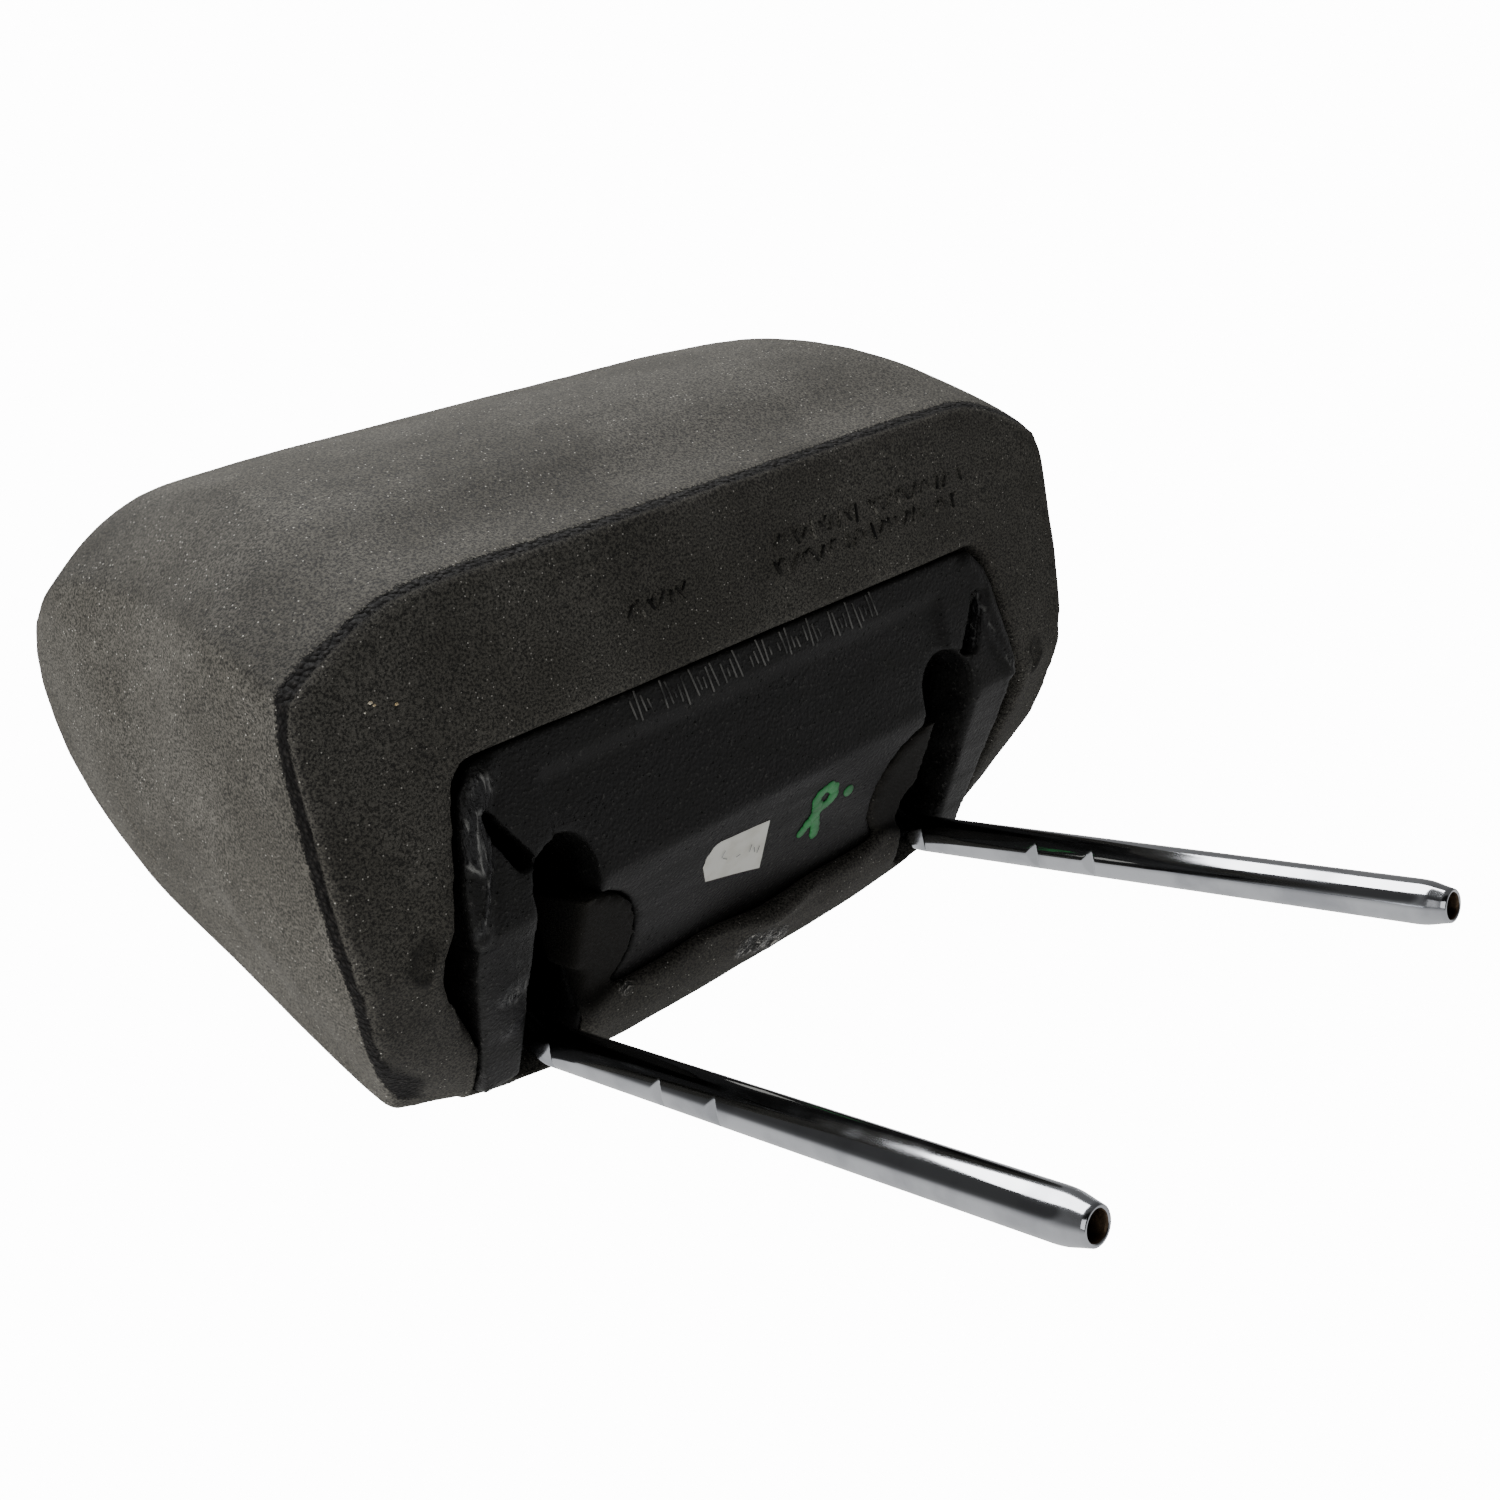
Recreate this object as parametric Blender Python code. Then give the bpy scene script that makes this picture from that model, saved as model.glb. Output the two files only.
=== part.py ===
"""Headrest pad with a moulded core, tilting on a bent two-post tube.

Frame: metres, +Z up, front (head side) at -Y, width along X.
The origin is midway between the two post axes, level with the flat underside.
"""
import math

import bmesh
import bpy
import numpy as np
from mathutils import Matrix, Vector

MM = 0.001
CLEARANCE = 0.3 * MM            # fit clearance between moulded and metal parts

POST_SPACING = 158 * MM
POST_DIAMETER = 12 * MM
POST_BORE = 7.2 * MM
POST_TIP_Z = -153 * MM
TIP_DIAMETER = 9.2 * MM
TIP_BORE = 6.4 * MM
NOTCH_DEPTH = 1.6 * MM
NOTCH_HEIGHTS = ((23 * MM, 9 * MM), (-24 * MM, 3.5 * MM), (-45 * MM, 3.5 * MM))
LEG_KNEE_Z = 30.7 * MM
KNEE_RADIUS = 20 * MM
CORNER_RADIUS = 22 * MM
PIVOT_Y = -45 * MM
PIVOT_Z = 100 * MM

CORE_TOP_Z = 111 * MM
CORE_FRONT_Y = -93 * MM
FOLD_Y = -48 * MM
WING_Z = 1 * MM
PAN_Z = 3 * MM
PAN_END_Y = -5 * MM
PAN_END_Z = 30 * MM
LIP_Y = -7 * MM
CORE_REAR_Y = 5 * MM
# Plan corners of the core in mm: rear, widest points of the wing; then a round front corner.
CORE_CORNERS = ((100.5, 12), (107.5, -38), (108, -60))
CORNER_X = 90 * MM
CORE_CORNER_RADIUS = 14.5 * MM
GAP_OUTLINE = ((84.5, -60.5), (91.5, -60.5), (99.8, -78.5), (97.2, -80.5))
GAP_DEPTH = 25 * MM
POST_GAP = 0.6 * MM             # foam beside a post
PLUG_PROUD = 1 * MM             # foam in a well stands out of the pan
SLOT_WIDTH = 22.5 * MM
SLOT_SHIFT = 1.25 * MM          # slot centre inboard of the post axis
SLOT_FRONT_Y = -65 * MM
WELL_RADIUS = 20 * MM

BUSH_X = 30 * MM
BUSH_LENGTH = 18 * MM
BUSH_SIZE = 18 * MM
PLATE_WIDTH = 14 * MM
PLATE_LENGTH = 32 * MM
PLATE_THICKNESS = 1.5 * MM
SCREW_OFFSET = 12.5 * MM
SCREW_SHANK = 3 * MM
SCREW_HEAD = 6 * MM
SCREW_HEAD_HEIGHT = 2.2 * MM
SCREW_LENGTH = 12 * MM

LABEL_THICKNESS = 0.2 * MM
# Label corners in mm: across, and up the sloping pan from the fold.
LABEL_OUTLINE = ((-25.8, 17.5), (-23.2, 14), (-17.5, 11.6), (2.2, 12.6), (-4.2, 24.2), (-26, 22.6))

# Foam section keys: centre (y, z), side (y, z), half width, rounding inset at the side, all mm.
FOAM_KEYS = (
    ((-137, 0), (-137, 0.8), 138.8, 17),
    ((-127, 0), (-127, 0.8), 140, 9),
    ((-112, 0), (-112, 0.8), 141.4, 2),
    ((-92, 0), (-92, 1.5), 141.8, 0),
    ((-68, 0), (-68, 2.5), 141.9, 0),
    ((-48, 0), (-48, 5.4), 140.2, 0),
    ((-17, 18), (-24, 18.6), 134.8, 0),
    ((12, 34.4), (-5, 36.5), 127, 2),
    ((13.4, 42), (2.5, 41), 124.5, 3),
    ((13.8, 50.8), (2.5, 47.3), 124.8, 5),
    ((4.8, 81.3), (-11.6, 82.5), 125.7, 8),
    ((-14, 122), (-29.8, 123.4), 126.2, 10),
    ((-41.6, 162), (-51.2, 160.3), 127, 12),
    ((-96.4, 196.4), (-94.6, 196), 128, 14),
    ((-141.3, 184), (-136.2, 188), 130.6, 18),
    ((-164.5, 144.8), (-164, 147), 132.5, 20),
    ((-169.5, 105), (-166, 105.5), 130.9, 20),
    ((-170, 68), (-161, 71), 133, 19),
    ((-157, 33), (-154.5, 35), 138.6, 18),
    ((-144.7, 15.6), (-145.5, 15), 140, 17),
)
FOAM_BREAKS = (0, 5)
FOAM_STATIONS = ((0.0, 0.0), (0.2, 0.0), (0.4, 0.0), (0.6, 0.0), (0.72, 0.02), (0.78, 0.09),
                 (0.84, 0.26), (0.89, 0.45), (0.94, 0.68), (0.98, 0.89), (1.0, 1.0))
DISH_DEPTH = 2.5 * MM
DISH_HEIGHT = 72 * MM
DISH_SPREAD = 22 * MM
DISH_WIDTH = 0.8
SIDE_RINGS = ((0.9, 1.5), (0.7, 3.0), (0.4, 4.2))


def reset_scene():
    """Remove every object and collection left in the file."""
    for item in list(bpy.data.objects):
        bpy.data.objects.remove(item, do_unlink=True)
    for group in list(bpy.data.collections):
        bpy.data.collections.remove(group)


def make_collection(name):
    """Create a collection in the scene."""
    group = bpy.data.collections.new(name)
    bpy.context.scene.collection.children.link(group)
    return group


def make_material(name, colour, roughness, metallic=0.0):
    """Create a Principled material."""
    material = bpy.data.materials.new(name)
    material.use_nodes = True
    shader = material.node_tree.nodes["Principled BSDF"]
    shader.inputs["Base Color"].default_value = (*colour, 1.0)
    shader.inputs["Roughness"].default_value = roughness
    shader.inputs["Metallic"].default_value = metallic
    material.diffuse_color = (*colour, 1.0)
    return material


def mesh_object(name, verts, faces, group, material=None):
    """Create a closed mesh object with its faces pointing out."""
    mesh = bpy.data.meshes.new(name)
    mesh.from_pydata([tuple(v) for v in verts], [], faces)
    work = bmesh.new()
    work.from_mesh(mesh)
    bmesh.ops.remove_doubles(work, verts=work.verts, dist=1e-7)
    bmesh.ops.recalc_face_normals(work, faces=work.faces)
    work.to_mesh(mesh)
    work.free()
    item = bpy.data.objects.new(name, mesh)
    group.objects.link(item)
    if material:
        mesh.materials.append(material)
    return item


def prism(name, outline, low, high, axis, group, material=None):
    """Extrude a closed outline: axis X takes (y, z) points, axis Z takes (x, y) points."""
    count = len(outline)
    if axis == "X":
        verts = [(end, a, b) for end in (low, high) for a, b in outline]
    else:
        verts = [(a, b, end) for end in (low, high) for a, b in outline]
    faces = [tuple(range(count)), tuple(range(count, 2 * count))]
    faces += [(i, (i + 1) % count, count + (i + 1) % count, count + i) for i in range(count)]
    return mesh_object(name, verts, faces, group, material)


def box(name, low, high, group, material=None):
    """Create a box from two opposite corners."""
    outline = [(low[0], low[1]), (high[0], low[1]), (high[0], high[1]), (low[0], high[1])]
    return prism(name, outline, low[2], high[2], "Z", group, material)


def combine(target, other, operation):
    """Apply an exact Boolean and hide the other body."""
    step = target.modifiers.new("combine", "BOOLEAN")
    step.operation = operation
    step.solver = "EXACT"
    step.object = other
    graph = bpy.context.evaluated_depsgraph_get()
    result = bpy.data.meshes.new_from_object(target.evaluated_get(graph))
    target.modifiers.clear()
    old = target.data
    target.data = result
    bpy.data.meshes.remove(old)
    other.hide_render = True
    other.display_type = "WIRE"


def tidy_mesh(item):
    """Weld close points and turn faces outward after the Booleans."""
    work = bmesh.new()
    work.from_mesh(item.data)
    bmesh.ops.remove_doubles(work, verts=work.verts, dist=2e-6)
    bmesh.ops.dissolve_degenerate(work, edges=work.edges, dist=1e-6)
    bmesh.ops.triangulate(work, faces=[f for f in work.faces if len(f.verts) > 4])
    bmesh.ops.recalc_face_normals(work, faces=work.faces)
    work.to_mesh(item.data)
    work.free()


def spline(points, closed_breaks, steps):
    """Interpolate closed rows of keys, with corners kept at the break rows."""
    points = np.asarray(points, float)
    count = len(points)
    rows = []
    for index in range(count):
        here, after = points[index], points[(index + 1) % count]
        before = 2 * here - after if index in closed_breaks else points[index - 1]
        beyond = points[(index + 2) % count]
        if (index + 1) % count in closed_breaks:
            beyond = 2 * after - here
        chord = np.linalg.norm((after - here)[:2]) + 1e-9
        lead = np.linalg.norm((here - before)[:2]) + 1e-9
        trail = np.linalg.norm((beyond - after)[:2]) + 1e-9
        slope_a = 0.5 * ((here - before) / lead + (after - here) / chord) * chord
        slope_b = 0.5 * ((after - here) / chord + (beyond - after) / trail) * chord
        for step in range(steps):
            t = step / steps
            rows.append((2 * t ** 3 - 3 * t ** 2 + 1) * here + (t ** 3 - 2 * t ** 2 + t) * slope_a
                        + (3 * t ** 2 - 2 * t ** 3) * after + (t ** 3 - t ** 2) * slope_b)
    return np.array(rows)


def foam_blank(group, material):
    """Loft the foam body from its section keys."""
    keys = [(*centre, *side, width, inset) for centre, side, width, inset in FOAM_KEYS]
    rows = spline(keys, FOAM_BREAKS, 3) * MM
    middle = np.array([-80 * MM, 90 * MM])
    ring_count = len(rows)
    stations = [(-f, s) for f, s in FOAM_STATIONS[:0:-1]] + list(FOAM_STATIONS)
    verts = []
    for fraction, rounding in stations:
        blend = abs(fraction) ** 4
        for row in rows:
            flat = row[0:2] * (1 - blend) + row[2:4] * blend
            aim = np.array([middle[0], min(middle[1], flat[1])])
            inward = (aim - flat) / np.linalg.norm(aim - flat)
            y, z = flat + inward * row[5] * rounding
            hollow = DISH_DEPTH * max(0.0, 1 - (fraction / DISH_WIDTH) ** 2)
            hollow *= math.exp(-((row[1] - DISH_HEIGHT) / DISH_SPREAD) ** 2) if row[0] < -138 * MM else 0.0
            verts.append((fraction * row[4], y + hollow, z))
    faces = []
    for s in range(len(stations) - 1):
        for k in range(ring_count):
            n = (k + 1) % ring_count
            faces.append((s * ring_count + k, s * ring_count + n,
                          (s + 1) * ring_count + n, (s + 1) * ring_count + k))
    for sign, base in ((-1, 0), (1, (len(stations) - 1) * ring_count)):
        edge = np.array(verts[base:base + ring_count])
        centre = np.array([edge[:, 0].mean() + sign * 2 * MM, -0.084, 0.092])
        last = base
        for scale, bulge in SIDE_RINGS:
            start = len(verts)
            ring = centre + (edge - centre) * scale
            ring[:, 0] = edge[:, 0] * scale + centre[0] * (1 - scale) + sign * bulge * MM
            verts.extend(map(tuple, ring))
            for k in range(ring_count):
                n = (k + 1) % ring_count
                faces.append((last + k, last + n, start + n, start + k))
            last = start
        verts.append(tuple(centre + np.array([sign * 4.6 * MM, 0, 0])))
        faces += [(last + k, last + (k + 1) % ring_count, len(verts) - 1) for k in range(ring_count)]
    return mesh_object("foam_pad", verts, faces, group, material)


def recess_outline(grow):
    """Plan outline of the core, grown outward, with rounded front corners."""
    outline = []
    for sign in (1, -1):
        side = [(sign * (x * MM + grow), y * MM) for x, y in CORE_CORNERS]
        for step in range(4):
            angle = math.radians(90 * step / 3)
            reach = CORE_CORNER_RADIUS + grow
            side.append((sign * (CORNER_X + reach * math.cos(angle)),
                         CORE_FRONT_Y + CORE_CORNER_RADIUS - reach * math.sin(angle)))
        outline += side if sign == 1 else side[::-1]
    return outline


def core_section(grow, floor=None):
    """Side outline of the core, grown outward; floor drops its underside to a level."""
    rear = [(CORE_REAR_Y + grow, 42 * MM + grow), (-26 * MM + grow, 104 * MM + grow),
            (-28.5 * MM + grow, CORE_TOP_Z + grow), (-62 * MM - grow, CORE_TOP_Z + grow),
            (-66 * MM - grow, 105 * MM + grow), (CORE_FRONT_Y - grow, 60 * MM + grow)]
    if floor is not None:
        return [(CORE_FRONT_Y - grow, floor), (CORE_REAR_Y + grow, floor)] + rear
    return [(CORE_FRONT_Y, WING_Z), (FOLD_Y, WING_Z),
            (CORE_REAR_Y, WING_Z + (CORE_REAR_Y - FOLD_Y) * math.tan(math.radians(30)))] + rear


def slot_outline(sign):
    """Plan outline of one post slot with a round front end."""
    centre, half = sign * (POST_SPACING / 2 - SLOT_SHIFT), SLOT_WIDTH / 2
    outline = [(centre + half, 20 * MM), (centre - half, 20 * MM)]
    for step in range(9):
        angle = math.pi * step / 8
        outline.append((centre - half * math.cos(angle), SLOT_FRONT_Y + half - half * math.sin(angle)))
    return outline


def leg_section(low):
    """Side outline swept by a leg between its end positions."""
    outline = [(-34 * MM, 125 * MM), (-57 * MM, 125 * MM), (-57 * MM, 66 * MM)]
    if low:
        return [(20 * MM, -20 * MM), (20 * MM, 38 * MM), (2.5 * MM, 42 * MM), (-34 * MM, 100 * MM)] \
            + outline + [(-66 * MM, 30 * MM), (-66 * MM, -20 * MM)]
    return [(-12.6 * MM, 66 * MM), (-34 * MM, 100 * MM)] + outline


def build_core(group, cutters, material):
    """Moulded core: clipped block with pan, slots, wells, crossbar groove and bush seats."""
    core = prism("core", core_section(0.0), -0.12, 0.12, "X", group, material)
    plan = prism("cut_core_plan", recess_outline(0.0), -0.05, 0.2, "Z", cutters)
    combine(core, plan, "INTERSECT")
    slope = (PAN_END_Z - PAN_Z) / (PAN_END_Y - FOLD_Y)
    pan = [(CORE_FRONT_Y + 9 * MM, -0.03), (CORE_FRONT_Y + 9 * MM, WING_Z), (-80 * MM, PAN_Z),
           (FOLD_Y, PAN_Z),
           (0.03, PAN_Z + slope * (0.03 - FOLD_Y)), (0.03, -0.03)]
    half = POST_SPACING / 2
    combine(core, prism("cut_pan", pan, -half, half, "X", cutters), "DIFFERENCE")
    for index, sign in enumerate((-1, 1)):
        slot = prism(f"cut_slot_{index}", slot_outline(sign), -0.03, 0.13, "Z", cutters)
        sweep = prism(f"cut_sweep_{index}", leg_section(True),
                      *sorted((sign * 0.06, sign * 0.1)), "X", cutters)
        combine(slot, sweep, "INTERSECT")
        combine(core, slot, "DIFFERENCE")
        corner = prism(f"cut_corner_{index}", leg_section(False),
                       *sorted((sign * 49 * MM, sign * 89.5 * MM)), "X", cutters)
        combine(core, corner, "DIFFERENCE")
        ring = [(sign * 70 * MM + WELL_RADIUS * math.cos(a), -24 * MM + WELL_RADIUS * math.sin(a))
                for a in (2 * math.pi * k / 20 for k in range(20))]
        combine(core, prism(f"cut_well_{index}", ring, -0.03, 0.034, "Z", cutters), "DIFFERENCE")
        gap = [(sign * x * MM, y * MM) for x, y in GAP_OUTLINE]
        combine(core, prism(f"cut_gap_{index}", gap, -0.03, GAP_DEPTH, "Z", cutters), "DIFFERENCE")
        seat_low = (sign * BUSH_X - BUSH_LENGTH / 2 - CLEARANCE, PIVOT_Y - BUSH_SIZE / 2 - CLEARANCE,
                    PIVOT_Z - BUSH_SIZE / 2)
        seat_high = (sign * BUSH_X + BUSH_LENGTH / 2 + CLEARANCE, PIVOT_Y + BUSH_SIZE / 2 + CLEARANCE, 0.13)
        combine(core, box(f"cut_seat_{index}", seat_low, seat_high, cutters), "DIFFERENCE")
        for end in (-1, 1):
            hole = [(sign * BUSH_X + (SCREW_SHANK / 2 + CLEARANCE) * math.cos(a),
                     PIVOT_Y + end * SCREW_OFFSET + (SCREW_SHANK / 2 + CLEARANCE) * math.sin(a))
                    for a in (2 * math.pi * k / 12 for k in range(12))]
            hole_low = CORE_TOP_Z + PLATE_THICKNESS - SCREW_LENGTH - CLEARANCE
            drill = prism(f"cut_hole_{index}_{end + 1}", hole, hole_low, 0.13, "Z", cutters)
            combine(core, drill, "DIFFERENCE")
    groove_low = (-0.06, PIVOT_Y - 7 * MM, PIVOT_Z - 7 * MM)
    combine(core, box("cut_groove", groove_low, (0.06, PIVOT_Y + 7 * MM, 0.13), cutters), "DIFFERENCE")
    tidy_mesh(core)
    return core


def build_foam(group, cutters, material):
    """Foam pad with the core pocket, the rear lip and the post openings."""
    foam = foam_blank(group, material)
    pocket = prism("cut_pocket", recess_outline(CLEARANCE), -0.05, 0.2, "Z", cutters)
    wide = prism("cut_wide", recess_outline(3 * MM), -0.05, 0.022, "Z", cutters)
    combine(pocket, wide, "UNION")
    section = prism("cut_section", core_section(CLEARANCE, -0.06), -0.13, 0.13, "X", cutters)
    combine(pocket, section, "INTERSECT")
    slope = (PAN_END_Z - PAN_Z) / (PAN_END_Y - FOLD_Y)
    lip = [(LIP_Y, -0.08), (LIP_Y, PAN_Z + slope * (LIP_Y - FOLD_Y) - CLEARANCE),
           (0.04, PAN_Z + slope * (0.04 - FOLD_Y) - CLEARANCE), (0.04, -0.08)]
    half = POST_SPACING / 2 - SLOT_SHIFT - SLOT_WIDTH / 2 + 1.5 * MM
    combine(pocket, prism("cut_lip", lip, -half, half, "X", cutters), "DIFFERENCE")
    for index, sign in enumerate((-1, 1)):
        reach = WELL_RADIUS - CLEARANCE
        ring = [(sign * 70 * MM + reach * math.cos(a), -24 * MM + reach * math.sin(a))
                for a in (2 * math.pi * k / 20 for k in range(20))]
        plug = prism(f"cut_plug_{index}", ring, -0.06, 0.034 - CLEARANCE, "Z", cutters)
        inner = POST_SPACING / 2 - POST_DIAMETER / 2 - POST_GAP
        above = [(y, PAN_Z + slope * (y - FOLD_Y) - PLUG_PROUD) for y in (-0.06, 0.03)]
        above += [(0.03, 0.06), (-0.06, 0.06)]
        keep = prism(f"cut_keep_{index}", above, *sorted((sign * 40 * MM, sign * inner)), "X", cutters)
        combine(plug, keep, "INTERSECT")
        combine(pocket, plug, "DIFFERENCE")
        exit_section = [(-20 * MM, -0.05), (7.6 * MM, -0.05), (7.6 * MM, 38 * MM),
                        (3 * MM, 42.2 * MM), (-20 * MM, 42.2 * MM)]
        limits = sorted((sign * (half - 0.2 * MM), sign * 89.2 * MM))
        combine(pocket, prism(f"cut_exit_{index}", exit_section, *limits, "X", cutters), "UNION")
        low = (sign * BUSH_X - PLATE_WIDTH / 2 - CLEARANCE, PIVOT_Y - PLATE_LENGTH / 2 - CLEARANCE, 0.1)
        high = (sign * BUSH_X + PLATE_WIDTH / 2 + CLEARANCE, PIVOT_Y + PLATE_LENGTH / 2 + CLEARANCE,
                CORE_TOP_Z + PLATE_THICKNESS + SCREW_HEAD_HEIGHT + CLEARANCE)
        combine(pocket, box(f"cut_keeper_{index}", low, high, cutters), "UNION")
    combine(foam, pocket, "DIFFERENCE")
    tidy_mesh(foam)
    return foam


def tube_path():
    """Centreline of the bent tube from the left tip to the right tip."""
    half = POST_SPACING / 2
    lean = math.atan2(-PIVOT_Y, PIVOT_Z - LEG_KNEE_Z)
    knee = Vector((half, 0, LEG_KNEE_Z))
    along = Vector((0, -math.sin(lean), math.cos(lean)))
    corner = Vector((half, PIVOT_Y, PIVOT_Z))
    points = [Vector((half, 0, POST_TIP_Z + 8 * MM))]
    setback = KNEE_RADIUS * math.tan(lean / 2)
    centre = knee - Vector((0, 0, setback)) + Vector((0, -KNEE_RADIUS, 0))
    points += [centre + KNEE_RADIUS * Vector((0, math.cos(a), math.sin(a)))
               for a in (lean * k / 3 for k in range(4))]
    bend = corner - along * CORNER_RADIUS - Vector((CORNER_RADIUS, 0, 0))
    points += [bend + CORNER_RADIUS * (Vector((math.cos(a), 0, 0)) + along * math.sin(a))
               for a in (math.pi / 2 * k / 6 for k in range(7))]
    mirrored = [Vector((-p.x, p.y, p.z)) for p in points]
    return mirrored + points[::-1]


def build_tube(group, cutters, material):
    """Hollow bent tube with rounded tips and adjustment notches."""
    path = tube_path()
    tip = [(POST_TIP_Z, TIP_DIAMETER / 2 - 0.8 * MM, TIP_BORE / 2),
           (POST_TIP_Z + 1.0 * MM, TIP_DIAMETER / 2, TIP_BORE / 2),
           (POST_TIP_Z + 5.5 * MM, POST_DIAMETER / 2 - 0.3 * MM, TIP_BORE / 2)]
    half = POST_SPACING / 2
    rings = [(Vector((-half, 0, z)), outer, inner) for z, outer, inner in tip]
    rings += [(p, POST_DIAMETER / 2, POST_BORE / 2) for p in path]
    rings += [(Vector((half, 0, z)), outer, inner) for z, outer, inner in tip[::-1]]
    count, sides = len(rings), 16
    frames, side = [], Vector((0, 1, 0))
    for index, (point, _, _) in enumerate(rings):
        before = rings[max(index - 1, 0)][0]
        after = rings[min(index + 1, count - 1)][0]
        tangent = ((point - before).normalized() + (after - point).normalized()).normalized() \
            if 0 < index < count - 1 else (after - before).normalized()
        side = (side - tangent * side.dot(tangent)).normalized()
        frames.append((side.copy(), tangent.cross(side)))
    verts = []
    for shell in (1, 2):
        for (ring, (first, second)) in zip(rings, frames):
            for k in range(sides):
                angle = 2 * math.pi * (k + 0.5) / sides
                verts.append(ring[0] + ring[shell] * (first * math.cos(angle) + second * math.sin(angle)))
    faces = []
    inner = count * sides
    for r in range(count - 1):
        for k in range(sides):
            n = (k + 1) % sides
            faces.append((r * sides + k, r * sides + n, (r + 1) * sides + n, (r + 1) * sides + k))
            faces.append((inner + r * sides + k, inner + (r + 1) * sides + k,
                          inner + (r + 1) * sides + n, inner + r * sides + n))
    for r in (0, count - 1):
        for k in range(sides):
            n = (k + 1) % sides
            faces.append((r * sides + k, inner + r * sides + k, inner + r * sides + n, r * sides + n))
    tube = mesh_object("armature_tube", verts, faces, group, material)
    for side_index, sign in enumerate((-1, 1)):
        surface = sign * half - POST_DIAMETER / 2
        for index, (height, ramp) in enumerate(NOTCH_HEIGHTS):
            wedge = [(surface + NOTCH_DEPTH, height), (surface - 1.6 * MM, height - 1.2 * MM),
                     (surface - 1.6 * MM, height + 2 * ramp)]
            cut = mesh_object(f"cut_notch_{side_index}_{index}",
                              [(x, y, z) for y in (-0.01, 0.01) for x, z in wedge],
                              [(0, 1, 2), (3, 4, 5), (0, 1, 4, 3), (1, 2, 5, 4), (2, 0, 3, 5)], cutters)
            combine(tube, cut, "DIFFERENCE")
    tidy_mesh(tube)
    return tube


def ring_points(x, y, radius, count):
    """Points of a circle in plan."""
    return [(x + radius * math.cos(2 * math.pi * k / count), y + radius * math.sin(2 * math.pi * k / count))
            for k in range(count)]


def build_keeper(index, sign, group, cutters, materials):
    """Split bearing block, keeper plate and its two screws on one side."""
    name = ("left", "right")[index]
    x = sign * BUSH_X
    low = (x - BUSH_LENGTH / 2, PIVOT_Y - BUSH_SIZE / 2, PIVOT_Z - BUSH_SIZE / 2)
    high = (x + BUSH_LENGTH / 2, PIVOT_Y + BUSH_SIZE / 2, CORE_TOP_Z)
    bush = box(f"pivot_bush_{name}", low, high, group, materials["bush"])
    bore = [(PIVOT_Y + (POST_DIAMETER / 2 + CLEARANCE) * math.cos(a),
             PIVOT_Z + (POST_DIAMETER / 2 + CLEARANCE) * math.sin(a))
            for a in (2 * math.pi * k / 24 for k in range(24))]
    combine(bush, prism(f"cut_bore_{name}", bore, x - 0.02, x + 0.02, "X", cutters), "DIFFERENCE")
    tidy_mesh(bush)
    low = (x - PLATE_WIDTH / 2, PIVOT_Y - PLATE_LENGTH / 2, CORE_TOP_Z)
    high = (x + PLATE_WIDTH / 2, PIVOT_Y + PLATE_LENGTH / 2, CORE_TOP_Z + PLATE_THICKNESS)
    plate = box(f"keeper_plate_{name}", low, high, group, materials["plate"])
    for step, end in enumerate((-1, 1)):
        y = PIVOT_Y + end * SCREW_OFFSET
        hole = ring_points(x, y, SCREW_SHANK / 2 + CLEARANCE, 12)
        combine(plate, prism(f"cut_plate_{name}_{step}", hole, 0.1, 0.12, "Z", cutters), "DIFFERENCE")
        top = CORE_TOP_Z + PLATE_THICKNESS
        screw = prism(f"keeper_screw_{2 * index + step + 1}", ring_points(x, y, SCREW_HEAD / 2, 16),
                      top, top + SCREW_HEAD_HEIGHT, "Z", group, materials["screw"])
        shank = prism(f"cut_shank_{name}_{step}", ring_points(x, y, SCREW_SHANK / 2, 12),
                      top - SCREW_LENGTH, top + 0.5 * MM, "Z", cutters)
        combine(screw, shank, "UNION")
        drive = ring_points(x, y, 1.3 * MM, 6)
        socket = prism(f"cut_drive_{name}_{step}", drive, top + 0.8 * MM, 0.13, "Z", cutters)
        combine(screw, socket, "DIFFERENCE")
        tidy_mesh(screw)
    tidy_mesh(plate)


def build_label(group, material):
    """Paper label with one torn corner, lying on the sloping pan."""
    slope = math.atan2(PAN_END_Z - PAN_Z, PAN_END_Y - FOLD_Y)
    along = Vector((0, math.cos(slope), math.sin(slope)))
    outward = Vector((0, math.sin(slope), -math.cos(slope)))
    origin = Vector((0, FOLD_Y, PAN_Z)) + outward * 0.02 * MM
    verts = [origin + Vector((x * MM, 0, 0)) + along * s * MM + outward * lift
             for lift in (0.0, LABEL_THICKNESS) for x, s in LABEL_OUTLINE]
    count = len(LABEL_OUTLINE)
    faces = [tuple(range(count)), tuple(range(count, 2 * count))]
    faces += [(i, (i + 1) % count, count + (i + 1) % count, count + i) for i in range(count)]
    return mesh_object("label", verts, faces, group, material)


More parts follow.
